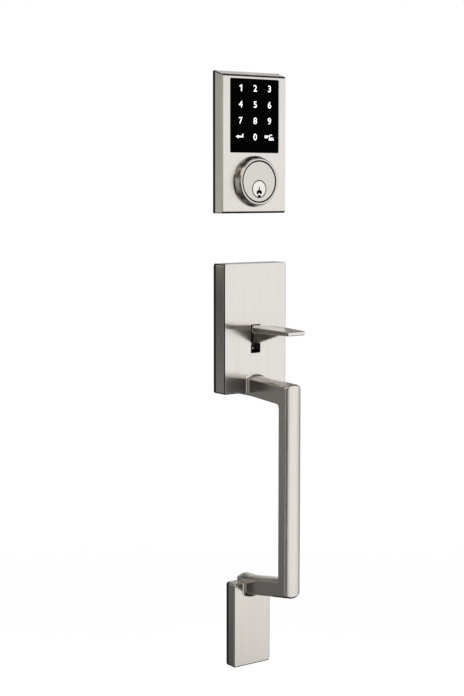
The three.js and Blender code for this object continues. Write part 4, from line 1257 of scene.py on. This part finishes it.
@dataclass
class UpperPlate:
    """Plate that carries the thumb lever and the grip's upper foot."""

    paints: Paints
    front_wall: float = 2.0
    edge: float = 1.0
    top_share: float = 0.4
    slot_half_width: float = 4.9
    slot_bottom: float = -21.7
    slot_top: float = 3.0
    slot_corner: float = 0.7
    boss_r: float = 5.5
    boss_y: float = -5.3
    stem_r: float = 2.4
    ear_gaps: Point = (7.7, 5.2)
    ear_thickness: float = 2.5
    ear_half_height: float = 4.0
    ear_depth: float = 4.5
    stem_depth: float = 5.3
    slot_flare: float = 0.3
    slot_overcut: float = 0.05
    seat_side: float = 0.6
    seat_top: float = 0.8
    seat_depth: float = 2.4
    # How far in from the outside the painted shade on inner faces begins.
    shade_paint_margin: float = 0.35

    def build(self) -> None:
        """Makes the plate with its slot, ears, bosses and grip seat."""
        box = Box.of("upper_escutcheon")
        inner_y = box.y0 + self.front_wall
        wall = inner_y - 1
        body = Shell(box.half_width, box.z0, box.z1, box.y0, box.y1, self.front_wall, self.edge,
                     top_share=self.top_share).solid()
        for side in ("left", "right"):
            post, screw = Box.of(f"upper_post_{side}"), Box.of(f"grip_screw_{side}")
            body.join(Solid.rod(self.boss_r, wall, self.boss_y, post.centre))
            body.cut(Solid.rod(self.stem_r, self.boss_y - self.stem_depth, 1, post.centre, steps=24))
            (x, z), r = screw.centre, screw.half_width
            x0, x1 = x - r - self.seat_side, x + r + self.seat_side
            body.join(Solid.box(x0, x1, wall, screw.y1 - self.seat_depth, box.z0 + 1,
                                z + r + self.seat_top))
            body.cut(Solid.rod(GRIP_SCREW_R, box.y0 - 1, 0, screw.centre, steps=24))
        pin = Box.of("thumb_pin")
        low, high = pin.middle_z - self.ear_half_height, pin.middle_z + self.ear_half_height
        for near, far in ((-self.ear_gaps[0] - self.ear_thickness, -self.ear_gaps[0]),
                          (self.ear_gaps[1], self.ear_gaps[1] + self.ear_thickness)):
            body.join(Solid.box(near, far, wall, inner_y + self.ear_depth, low, high))
        body.cut(Solid.rod((pin.y1 - pin.y0) / 2 + SLIP_GAP, pin.x0 - 1, pin.x1 + 1,
                           (pin.middle_y, pin.middle_z), Axis.X, 32))
        for k in (1, 2):
            body.add_screw_boss(Box.of(f"upper_plate_screw_{k}"), wall)
        body.cut(self._slot(box.y0, inner_y))
        paint = self.paints.of(SATIN_NICKEL)
        # Faces inside the plate, the slot's walls among them, are painted near-black as shade.
        body.paint(paint, self.paints.of(PAINTED_SHADE_METAL), box.shrunk(self.shade_paint_margin).holds)
        body.place("upper_plate_cast", paint, "satin_nickel", "lockset", ("upper_escutcheon",))

    def _slot(self, front_y: float, inner_y: float) -> Solid:
        """Cutter of the lever's slot with a broken edge.

        Args:
            front_y: depth of the plate's face.
            inner_y: depth of the wall's inside.

        Returns:
            The cutter.
        """
        w, low, high, corner = self.slot_half_width, self.slot_bottom, self.slot_top, self.slot_corner
        flare = self.slot_flare
        mouth = rectangle(w + flare, low - flare, high + flare, corner + flare, 4)
        return flared(rectangle(w, low, high, corner, 4), mouth, front_y, flare,
                      inner_y + self.slot_overcut)


@dataclass
class ThumbLever:
    """Lever with its flared paddle, web, hub and the tail that lifts the latch."""

    paints: Paints
    neck_half: float = 4.3
    shoulder_half: float = 12.6
    tip_half: float = 9.75
    neck_length: float = 1.6
    neck_round: float = 1.2
    flare_length: float = 10.6
    shoulder_r: float = 4.0
    tip_r: float = 2.0
    root_thickness: float = 5.6
    tip_thickness: float = 3.5
    tip_drop: float = 1.6
    web_half: float = 3.4
    web_end_y: float = -56.0
    web_bottom: float = -14.6
    web_chamfer: float = 1.3
    back_y: float = -8.8
    hub_front_y: float = -13.2
    edge: float = 0.8
    tail_y: Point = (-10.0, -7.0)
    tail_gap: float = 0.4
    tail_thickness: float = 2.6
    tail_outer_x: float = 9.2
    finger_inner_x: float = 7.4
    finger_y: Point = (-8.0, 4.5)
    finger_z: Point = (-19.5, -16.5)
    finger_edge: float = 0.3
    box: Box = field(init=False)
    pin: Box = field(init=False)
    root_y: float = field(init=False)

    def __post_init__(self) -> None:
        """Reads the places that other pieces set."""
        self.box = Box.of("thumb_lever")
        self.pin = Box.of("thumb_pin")
        self.root_y = Box.of("upper_escutcheon").y0

    def _section(self, y: float) -> tuple[float, float]:
        """Heights of the paddle.

        Args:
            y: a depth.

        Returns:
            Its top and bottom there.
        """
        share = min(max((self.root_y - y) / (self.root_y - self.box.y0), 0.0), 1.0)
        top = self.box.z1 - self.tip_drop * share
        return top, top - (self.root_thickness + (self.tip_thickness - self.root_thickness) * share)

    def _paddle(self) -> Solid:
        """Flared paddle with softened edges.

        Returns:
            The paddle.
        """
        neck_y = self.root_y - self.neck_length
        left = [
            (-self.neck_half, self.back_y, 0.0), (-self.neck_half, neck_y, self.neck_round),
            (-self.shoulder_half, neck_y - self.flare_length, self.shoulder_r),
            (-self.tip_half, self.box.y0, self.tip_r),
        ]
        right = [(-x, y, r) for x, y, r in reversed(left)]
        outline = rounded(left + right, 8)
        rings = [[Vector((x, y, self._section(y)[level])) for x, y in outline] for level in (1, 0)]
        return Solid.loft(rings).soften(self.edge, 4, 40.0)

    def _web(self) -> Solid:
        """Web under the paddle.

        Returns:
            The web.
        """
        top = self.box.z1 - 1
        end_z = self._section(self.web_end_y)[1] + SEAT_GAP
        side = [(self.back_y, top), (self.root_y, top), (self.web_end_y, end_z),
                (self.root_y, self.web_bottom), (self.back_y, self.web_bottom)]
        return Solid.prism(side, Axis.X, -self.web_half, self.web_half).soften(self.web_chamfer, 1)

    def _tail(self) -> tuple[Solid, Solid, Solid]:
        """Tail behind the plate's wall.

        Returns:
            The arm beside the hub, its drop, and the finger that reaches the latch hub.
        """
        top = self.pin.middle_z - UpperPlate.ear_half_height - self.tail_gap
        low, high = self.finger_z
        inner, outer = self.finger_inner_x, self.tail_outer_x
        arm = Solid.box(self.neck_half - 1, outer, *self.tail_y, top - self.tail_thickness, top)
        drop = Solid.box(inner, outer, *self.tail_y, low, top)
        finger = Solid.box(inner, outer, *self.finger_y, low, high).soften(self.finger_edge, 2)
        return arm, drop, finger

    def build(self) -> None:
        """Makes the lever."""
        hub = Solid.box(-self.neck_half, self.neck_half, self.hub_front_y, self.back_y, self.web_bottom,
                        self.box.z1 - 1)
        body = self._paddle().join(self._web(), hub, *self._tail())
        pin = self.pin
        radius = (pin.y1 - pin.y0) / 2 + SLIP_GAP
        body.cut(Solid.rod(radius, -self.neck_half - 1, self.neck_half + 1,
                           (pin.middle_y, pin.middle_z), Axis.X, 32))
        body.place("lever_cast", self.paints.of(SATIN_NICKEL), "satin_nickel", "thumb_lever",
                   ("thumb_lever",))


@dataclass
class PullGrip:
    """C-shaped grip with flat sides and crowned faces."""

    paints: Paints
    crown: float = 2.8
    half_width: float = 8.75
    side_round: float = 0.9
    stations: int = 36
    bar_thickness: float = 7.8
    bar_front_y: float = -67.9
    upper_hang: float = 1.1
    upper_height: float = 13.2
    upper_falls: Point = (0.0435, 0.0785)
    lower_stand: float = 2.9
    lower_height: float = 11.9
    lower_rises: Point = (0.158, 0.155)
    outer_r: float = 2.2
    inner_top_r: float = 4.0
    inner_low_r: float = 1.6
    heel_y: float = -0.6
    flare: float = 2.0
    flare_steps: int = 8
    flare_root: Point = (1.5, -0.4)
    flare_skin: float = -0.03
    flare_overlap: float = 0.05
    screw_reach: float = 0.8

    def _outline(self, grow: float) -> list[Point]:
        """Side outline of the grip.

        Args:
            grow: how far the crowned faces stand beyond the flat sides' edges.

        Returns:
            The outline in Y and Z.
        """
        upper, lower = Box.of("upper_escutcheon"), Box.of("lower_escutcheon")
        top_root_y, low_root_y = upper.y0 - SEAT_GAP, lower.y0 - SEAT_GAP
        under = upper.z0 - self.upper_hang
        over = under + self.upper_height
        low_over = lower.z1 + self.lower_stand
        low_under = low_over - self.lower_height
        front, back = self.bar_front_y - grow, self.bar_front_y + self.bar_thickness + grow

        def upper_top(y: float) -> float:
            """Height of the upper arm's top."""
            return over + self.upper_falls[0] * (y - upper.y0) + grow

        def upper_bottom(y: float) -> float:
            """Height of the upper arm's underside."""
            return under + self.upper_falls[1] * (y - upper.y0) - grow

        def lower_top(y: float) -> float:
            """Height of the lower arm's top."""
            return low_over - self.lower_rises[0] * (y - lower.y0) + grow

        def lower_bottom(y: float) -> float:
            """Height of the lower arm's underside."""
            return low_under - self.lower_rises[1] * (y - lower.y0) - grow

        return rounded([
            (top_root_y, upper_top(top_root_y), 0.0), (front, upper_top(front), self.outer_r),
            (front, lower_bottom(front), self.outer_r), (low_root_y, lower_bottom(low_root_y), 0.0),
            (low_root_y, lower.z1 + SEAT_GAP, 0.0), (self.heel_y, lower.z1 + SEAT_GAP, 0.0),
            (self.heel_y, low_over + grow, 0.0), (lower.y0, low_over + grow, 0.0),
            (back, lower_top(back), self.inner_low_r), (back, upper_bottom(back), self.inner_top_r),
            (upper.y0, under - grow, 0.0), (self.heel_y, under - grow, 0.0),
            (self.heel_y, upper.z0 - SEAT_GAP, 0.0), (top_root_y, upper.z0 - SEAT_GAP, 0.0),
        ], 8)

    def _stations(self) -> list[tuple[float, float]]:
        """Stations of the loft across the grip.

        Returns:
            Each station's X, and how far the outline grows there.
        """
        w, r = self.half_width, self.side_round
        crown_r = (w ** 2 + self.crown ** 2) / (2 * self.crown)
        rows = []
        inner = w - r
        for k in range(self.stations + 1):
            x = inner * (2 * k / self.stations - 1)
            rows.append((x, math.sqrt(crown_r ** 2 - x ** 2) - (crown_r - self.crown)))
        edge = rows[0][1]
        arc = []
        for k in range(1, 5):
            turn = math.radians(90 * k / 4)
            arc.append((inner + r * math.sin(turn), edge - r * (1 - math.cos(turn))))
        return [(-x, grow) for x, grow in reversed(arc)] + rows + arc

    def _flare(self, upper: bool) -> Solid:
        """Hollow-ground flare where an arm meets its plate.

        Args:
            upper: whether it is the upper arm's.

        Returns:
            The flare as a solid that overlaps the arm.
        """
        plate = Box.of("upper_escutcheon" if upper else "lower_escutcheon")
        root_y = plate.y0 - SEAT_GAP
        r, w, steps = self.flare, self.half_width, self.flare_steps
        profile = [(r + self.flare_root[0], self.flare_root[1]), (r, self.flare_skin)]
        for k in range(1, steps + 1):
            depth = r * (1 - k / steps)
            profile.append((depth, r - math.sqrt(r * r - (r - depth) ** 2)))
        rings = []
        for depth, grow in profile:
            y = root_y - depth
            across = [(x * (w + grow) / w, lift) for x, lift in self._stations()]
            if upper:
                far = plate.z0 - self.upper_hang + self.upper_height + self.upper_falls[0] * (y - plate.y0)
                ring = [(x, far + grow + lift) for x, lift in across]
                ring += [(x, plate.z0 + self.flare_overlap) for x, _ in reversed(across)]
            else:
                far = (plate.z1 + self.lower_stand - self.lower_height
                       - self.lower_rises[1] * (y - plate.y0))
                ring = [(x, plate.z1 - self.flare_overlap) for x, _ in across]
                ring += [(x, far - grow - lift) for x, lift in reversed(across)]
            rings.append(Axis.Y.ring(ring, y))
        return Solid.loft(rings)

    def build(self) -> None:
        """Makes the grip."""
        rings = [Axis.X.ring(self._outline(grow), x) for x, grow in self._stations()]
        body = Solid.loft(rings).join(self._flare(True), self._flare(False))
        for name in ("grip_screw_left", "grip_screw_right", "grip_screw_lower"):
            screw = Box.of(name)
            body.cut(Solid.rod(GRIP_SCREW_R, screw.y0 - self.screw_reach, screw.y1, screw.centre, steps=24))
        body.place("grip_cast", self.paints.of(SATIN_NICKEL), "satin_nickel", "lockset",
                   ("pull_grip",))


@dataclass
class LowerPlate:
    """Plate that carries the grip's lower foot."""

    paints: Paints
    front_wall: float = 2.0
    edge: float = 1.0
    seat_side: float = 0.8
    seat_depth: float = 2.7

    def build(self) -> None:
        """Makes the plate."""
        box = Box.of("lower_escutcheon")
        wall = box.y0 + self.front_wall - 1
        body = Shell(box.half_width, box.z0, box.z1, box.y0, box.y1, self.front_wall, self.edge).solid()
        screw = Box.of("grip_screw_lower")
        r = screw.half_width + self.seat_side
        body.join(Solid.box(-r, r, wall, screw.y1 - self.seat_depth, screw.middle_z - r, box.z1 - 1))
        body.add_screw_boss(Box.of("lower_plate_screw"), wall)
        body.cut(Solid.rod(GRIP_SCREW_R, box.y0 - 1, 1, (0, screw.middle_z), steps=24))
        body.place("lower_plate_cast", self.paints.of(SATIN_NICKEL), "satin_nickel", "lockset",
                   ("lower_escutcheon",))


@dataclass
class GasketLips:
    """Rubber lips that hug the back edge of each front plate."""

    paints: Paints
    step: float = 0.1
    thickness: float = 1.2
    top_gap: float = 0.05
    front_gap: float = 0.02
    back_gap: float = 0.1

    def build(self) -> None:
        """Makes the three lips."""
        s, t = self.step, self.thickness
        for name, node, corner in (("keypad", "keypad_housing", KeypadUnit.corner),
                                   ("upper", "upper_escutcheon", Shell.corner),
                                   ("lower", "lower_escutcheon", Shell.corner)):
            plate, back = Box.of(node), Box.of(f"{name}_gasket").y1
            w, low, high = plate.half_width, plate.z0, plate.z1
            front = plate.y1 - Shell.rebate
            body = Solid.prism(rectangle(w, low, high - self.top_gap, corner), Axis.Y,
                               front + self.front_gap, back - self.back_gap)
            body.cut(Solid.prism(rectangle(w - s, low + s, high, corner), Axis.Y, front - 1, plate.y1),
                     Solid.prism(rectangle(w - t, low + t, high - t, corner), Axis.Y, front - 1, 1))
            body.place(f"{name}_gasket_lip", self.paints.of(SLOT_FINISHES["black_rubber"]),
                       "black_rubber", "lockset")


# ---------------------------------------------------------------- carried-over solids


@dataclass
class InnerWorks:
    """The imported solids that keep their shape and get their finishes."""

    paints: Paints
    frame: dict

    def dress(self) -> None:
        """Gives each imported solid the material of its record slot."""
        for row in self.frame["record"]["subparts"]:
            node = self.frame["nodes"][row["node"]]
            paint = self.paints.of(SLOT_FINISHES[row["material_slot"]])
            node.data.materials.clear()
            node.data.materials.append(paint)
            LOG.info("%s: %s", row["node"], row["material_slot"])


# ---------------------------------------------------------------- studio


@dataclass(frozen=True)
class Band:
    """What the cards show at one height: levels by azimuth, and the cards' tint."""

    height: float
    levels: tuple[tuple[float, float], ...]
    colour: Colour = (1.0, 1.0, 1.0)


@dataclass(frozen=True)
class Lamp:
    """Square soft lamp that looks at the middle of the set."""

    name: str
    azimuth: float
    elevation: float
    distance: float
    size: float
    watts: float


# Levels that bands share, by the side of the set that they cover.
LOW_RING = ((0, 1.0), (30, 1.0), (46, 0.05), (318, 0.05), (336, 1.0), (360, 1.0))
LOW_RIGHT = ((60, 0.85), (80, 0.7), (92, 0.1), (102, 0.03))
HIGH_RIGHT = ((60, 0.9), (84, 0.7), (102, 0.35), (115, 0.12))
LOW_LEFT = ((262, 0.3), (294, 0.3), (308, 0.04))
MIDDLE_LEFT = ((262, 0.42), (284, 0.42), (300, 0.03), (350, 0.03), (355, 0.3))
HIGH_LEFT = ((262, 0.5), (300, 0.5), (318, 0.08), (345, 0.10))
TOP_START = ((0, 0.8), (22, 0.8), (36, 0.04), (100, 0.1))
TOP_END = ((350, 0.04), (360, 0.8))


@dataclass
class Studio:
    """Camera, pale floor, soft lamps and the grey cards that the metal mirrors."""

    camera_at: tuple[float, float, float] = (-778.4, -1052.1, 121.3)
    heading: float = 36.0
    tilt: float = -6.12
    lens: float = 77.3
    floor_z: float = -950.0
    floor_radius: float = 3500.0
    floor_fade: Point = (0.4, 0.95)
    card_radius: float = 1000.0
    card_low: float = -940.0
    card_high: float = 1500.0
    card_step: int = 2
    window: tuple[float, float, float, float] = (60.0, 354.0, -480.0, 400.0)
    cap_level: float = 0.03
    overhead_radius: float = 560.0
    overhead_drop: float = 10.0
    overhead_level: float = 0.7
    warm_at: Point = (-45.0, 41.0)
    warm_distance: float = 1.02
    warm_size: float = 0.26
    warm_colour: Colour = (1.3, 1.15, 0.9)
    lamps: tuple[Lamp, ...] = (
        Lamp("key_lamp", 40, 48, 2000, 1100, 16.0),
        Lamp("fill_lamp", -60, 30, 2200, 1300, 9.0),
        Lamp("back_lamp", 160, 50, 2200, 1100, 8.0),
    )
    bands: tuple[Band, ...] = (
        Band(-900, ((0, 0.05), (360, 0.05))),
        Band(-840, LOW_RING),
        Band(-710, LOW_RING),
        Band(-630, ((0, 0.82), (64, 0.82), (84, 0.5), (107, 0.03), (138, 0.03), (150, 0.2), (165, 0.03),
                    (195, 0.05), (202, 0.10), (235, 0.10), (252, 0.03), *LOW_LEFT, (345, 0.03),
                    (356, 0.5), (360, 0.7)), (1.0, 0.99, 0.96)),
        Band(-480, ((0, 0.8), (6, 0.95), (64, 0.95), (84, 0.5), (107, 0.03), (130, 0.03), (143, 0.7),
                    (165, 0.03), (195, 0.06), (202, 0.15), (232, 0.15), (250, 0.03), *LOW_LEFT,
                    (345, 0.03), (356, 0.5), (360, 0.8)), (1.0, 0.99, 0.96)),
        Band(-330, (*LOW_RIGHT, (130, 0.03), (142, 0.6), (165, 0.04), (192, 0.08), (202, 0.2), (232, 0.19),
                    (246, 0.03), *LOW_LEFT, (350, 0.03), (355, 0.3)), (1.0, 0.98, 0.94)),
        Band(-190, (*LOW_RIGHT, (128, 0.03), (140, 0.75), (160, 0.7), (172, 0.05), (192, 0.08),
                    (202, 0.22), (232, 0.18), (246, 0.03), (262, 0.38), (288, 0.38), (303, 0.03),
                    (350, 0.03), (355, 0.3)), (1.0, 0.98, 0.94)),
        Band(-130, ((60, 0.95), (84, 0.8), (102, 0.6), (115, 0.45), (130, 0.6), (155, 0.62), (170, 0.05),
                    (192, 0.06), (202, 0.15), (235, 0.14), (250, 0.03), *MIDDLE_LEFT), (1.0, 0.98, 0.94)),
        Band(10, ((60, 0.95), (84, 0.8), (102, 0.5), (115, 0.3), (132, 0.5), (158, 0.6), (172, 0.06),
                  (192, 0.05), (202, 0.07), (235, 0.07), (250, 0.03), *MIDDLE_LEFT), (1.0, 0.97, 0.92)),
        Band(50, (*HIGH_RIGHT, (132, 0.4), (145, 0.5), (162, 0.5), (172, 0.1), (188, 0.25), (198, 0.60),
                  (236, 0.58), (250, 0.12), (262, 0.4), (286, 0.35), (304, 0.04), (345, 0.10),
                  (355, 0.4)), (1.0, 0.98, 0.89)),
        Band(110, (*HIGH_RIGHT, (130, 0.3), (145, 0.42), (165, 0.3), (175, 0.05), (188, 0.25), (198, 0.50),
                   (236, 0.49), (250, 0.12), *HIGH_LEFT, (355, 0.4)), (1.0, 0.99, 0.9)),
        Band(190, (*HIGH_RIGHT, (130, 0.12), (145, 0.30), (165, 0.05), (188, 0.2), (198, 0.42),
                   (236, 0.41), (250, 0.1), *HIGH_LEFT, (355, 0.4)), (1.0, 0.99, 0.9)),
        Band(290, ((0, 0.9), (60, 0.6), (80, 0.3), (102, 0.1), (115, 0.05), (145, 0.1), (165, 0.05),
                   (188, 0.2), (198, 0.46), (236, 0.44), (250, 0.1), *HIGH_LEFT, (360, 0.9)),
             (1.0, 0.99, 0.9)),
        Band(430, ((0, 0.8), (22, 0.8), (38, 0.04), (130, 0.05), (145, 0.06), (200, 0.04), *TOP_END)),
        Band(560, (*TOP_START, (112, 0.4), (144, 0.4), (150, 0.9), (166, 0.9), (178, 0.04), *TOP_END),
             (1.0, 0.97, 0.93)),
        Band(700, (*TOP_START, (112, 0.72), (144, 0.72), (150, 0.95), (168, 0.95), (180, 0.04), *TOP_END)),
        Band(1000, (*TOP_START, (112, 0.72), (150, 0.72), (164, 0.04), *TOP_END)),
        Band(1150, ((0, 0.04), (360, 0.04))),
    )

    def build(self) -> None:
        """Sets up the whole studio."""
        self._camera()
        self._world()
        self._floor()
        self._cards()
        for lamp in self.lamps:
            self._lamp(lamp)
        bpy.context.scene.view_settings.view_transform = "Standard"

    @staticmethod
    def _direction(azimuth: float, elevation: float) -> Vector:
        """Direction in the set.

        Args:
            azimuth: counted from the front to the right.
            elevation: above the horizon.

        Returns:
            The unit vector.
        """
        a, e = math.radians(azimuth), math.radians(elevation)
        return Vector((math.sin(a) * math.cos(e), -math.cos(a) * math.cos(e), math.sin(e)))

    def _camera(self) -> None:
        """Camera of the main view."""
        data = bpy.data.cameras.new("camera")
        data.lens = self.lens
        camera = bpy.data.objects.new("camera", data)
        camera.location = Vector(self.camera_at) * MM
        look = -self._direction(-self.heading, -self.tilt)
        camera.rotation_euler = look.to_track_quat("-Z", "Y").to_euler()
        bpy.context.scene.collection.objects.link(camera)
        bpy.context.scene.camera = camera

    def _world(self) -> None:
        """World that is white to the eye and in reflections and softer as a light."""
        world = bpy.data.worlds.new("studio")
        world.use_nodes = True
        graph = Graph(world.node_tree)
        seen = graph.seen()
        background = graph.node("ShaderNodeBackground", None, {
            "Color": graph.mix(seen, (0.62, 0.62, 0.62), (1.0, 1.0, 1.0)), "Strength": 1.0})
        graph.node("ShaderNodeOutputWorld", None, {"Surface": background})
        bpy.context.scene.world = world

    def _floor(self) -> None:
        """Pale floor that keeps the shadow."""
        mesh = bmesh.new()
        bmesh.ops.create_circle(mesh, cap_ends=True, segments=64, radius=self.floor_radius * MM)
        data = bpy.data.meshes.new("floor")
        mesh.to_mesh(data)
        mesh.free()
        floor = bpy.data.objects.new("floor", data)
        floor.location.z = self.floor_z * MM
        bpy.context.scene.collection.objects.link(floor)
        material, graph = new_material("pale_floor")
        seen = graph.seen()
        grain = graph.noise((3.0, 3.0, 3.0), 2.0)
        where = graph.node("ShaderNodeTexCoord", output="Object")
        reach = graph.node("ShaderNodeVectorMath", {"operation": "LENGTH"}, {0: where}, "Value")
        fade = graph.node("ShaderNodeMapRange", {"interpolation_type": "SMOOTHSTEP"}, {
            "Value": reach, 1: self.floor_radius * MM * self.floor_fade[0],
            2: self.floor_radius * MM * self.floor_fade[1], 3: 1.0, 4: 0.0})
        graph.surface({
            "Base Color": graph.mix(grain, (0.86, 0.86, 0.86), (0.9, 0.9, 0.9)),
            "Roughness": 0.9, "Specular IOR Level": 0.0, "Alpha": fade,
            "Emission Color": graph.mix(seen, (0.0, 0.0, 0.0), (0.33, 0.33, 0.33)),
            "Emission Strength": 1.0,
        })
        data.materials.append(material)

    def _reflected_only(self, name: str, mesh: bmesh.types.BMesh, material: bpy.types.Material) -> None:
        """Stage piece that shows in reflections and nowhere else.

        Args:
            name: the piece's name.
            mesh: its mesh, which is freed.
            material: its material.
        """
        data = bpy.data.meshes.new(name)
        mesh.to_mesh(data)
        mesh.free()
        data.materials.append(material)
        card = bpy.data.objects.new(name, data)
        bpy.context.scene.collection.objects.link(card)
        card.visible_camera = card.visible_diffuse = card.visible_shadow = False
        card.visible_transmission = False

    def _ring_mesh(self) -> bmesh.types.BMesh:
        """Ring of cards about the set with a window in front.

        Returns:
            Its mesh.
        """
        step = self.card_step
        end, start, low, high = self.window
        levels = (self.card_low, low, high, self.card_high)
        mesh = bmesh.new()
        rows = []
        for z in levels:
            around = (self._direction(angle, 0.0) * self.card_radius for angle in range(0, 360, step))
            rows.append([mesh.verts.new((away + Vector((0, 0, z))) * MM) for away in around])
        for below, above, is_middle in zip(rows, rows[1:], (False, True, False)):
            for k in range(len(below)):
                after = (k + 1) % len(below)
                if is_middle and not end <= k * step < start:
                    continue
                mesh.faces.new((below[k], below[after], above[after], above[k]))
        return mesh

    def _card_light(self, graph: Graph) -> Wire:
        """Colour of the cards by azimuth and height.

        Args:
            graph: the cards' graph.

        Returns:
            The colour.
        """
        where = graph.node("ShaderNodeTexCoord", output="Object")
        split = graph.node("ShaderNodeSeparateXYZ", None, {"Vector": where})
        turn = graph.node("ShaderNodeMath", {"operation": "ARCTAN2"}, {0: split, 1: split.other("Y") * -1.0})
        share = graph.node("ShaderNodeMath", {"operation": "FLOORED_MODULO"},
                           {0: turn * (0.5 / math.pi), 1: 1.0})
        height = split.other("Z")
        level = None
        for low, band in zip((None, *self.bands), self.bands):
            stops = [(azimuth / 360.0, value) for azimuth, value in band.levels]
            ramp = graph.node("ShaderNodeValToRGB", {"stops": stops}, {"Fac": share})
            shown = graph.node("ShaderNodeVectorMath", {"operation": "MULTIPLY"}, {0: ramp, 1: band.colour})
            if low:
                rise = (height - low.height * MM) * (1.0 / ((band.height - low.height) * MM))
                shown = graph.mix(rise, level, shown)
            level = shown
        return level

    def _cards(self) -> None:
        """Cards all round, open to the white world in a window in front."""
        material, graph = new_material("grey_cards")
        self._emit(graph, self._card_light(graph))
        self._reflected_only("grey_cards", self._ring_mesh(), material)
        self._disc("ceiling_card", self.card_radius, self.card_high, self.cap_level)
        self._disc("low_card", self.card_radius, self.card_low, self.cap_level)
        self._disc("overhead_card", self.overhead_radius, self.card_high - self.overhead_drop,
                   self.overhead_level)
        self._warm_card()

    def _disc(self, name: str, radius: float, z: float, level: float) -> None:
        """Round level card.

        Args:
            name: the card's name.
            radius: its radius.
            z: its height.
            level: how brightly it glows.
        """
        mesh = bmesh.new()
        bmesh.ops.create_circle(mesh, cap_ends=True, segments=64, radius=radius * MM,
                                matrix=Matrix.Translation((0, 0, z * MM)))
        self._reflected_only(name, mesh, self._glow(name, (level,) * 3))

    @staticmethod
    def _emit(graph: Graph, colour: Wire | tuple[float, ...]) -> None:
        """Ends a graph in an even glow."""
        glow = graph.node("ShaderNodeEmission", None, {"Color": colour, "Strength": 1.0})
        graph.node("ShaderNodeOutputMaterial", None, {"Surface": glow})

    def _glow(self, name: str, colour: Colour) -> bpy.types.Material:
        """Material of an even glow.

        Args:
            name: its name.
            colour: its colour.

        Returns:
            The material.
        """
        material, graph = new_material(name)
        self._emit(graph, (*colour, 1.0))
        return material

    def _warm_card(self) -> None:
        """Small warm card, high in front of the left side."""
        away = self._direction(*self.warm_at)
        mesh = bmesh.new()
        turn = away.to_track_quat("Z", "Y").to_matrix().to_4x4()
        bmesh.ops.create_grid(mesh, size=self.warm_size,
                              matrix=Matrix.Translation(away * self.warm_distance) @ turn)
        self._reflected_only("warm_card", mesh, self._glow("warm_card", self.warm_colour))

    def _lamp(self, lamp: Lamp) -> None:
        """Hangs a lamp.

        Args:
            lamp: its place, size and power.
        """
        data = bpy.data.lights.new(lamp.name, "AREA")
        data.size = lamp.size * MM
        data.energy = lamp.watts
        hung = bpy.data.objects.new(lamp.name, data)
        away = self._direction(lamp.azimuth, lamp.elevation)
        hung.location = away * lamp.distance * MM
        hung.rotation_euler = (-away).to_track_quat("-Z", "Y").to_euler()
        bpy.context.scene.collection.objects.link(hung)


def main() -> None:
    """Builds every sub-assembly in order."""
    logging.basicConfig(level=logging.INFO, format="%(name)s: %(message)s")
    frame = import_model()
    paints = Paints()
    Studio().build()
    InnerWorks(paints, frame).dress()
    for unit in (KeypadUnit(paints), LockCylinder(paints), UpperPlate(paints), ThumbLever(paints),
                 PullGrip(paints), LowerPlate(paints), GasketLips(paints)):
        unit.build()


if __name__ == "__main__":
    main()
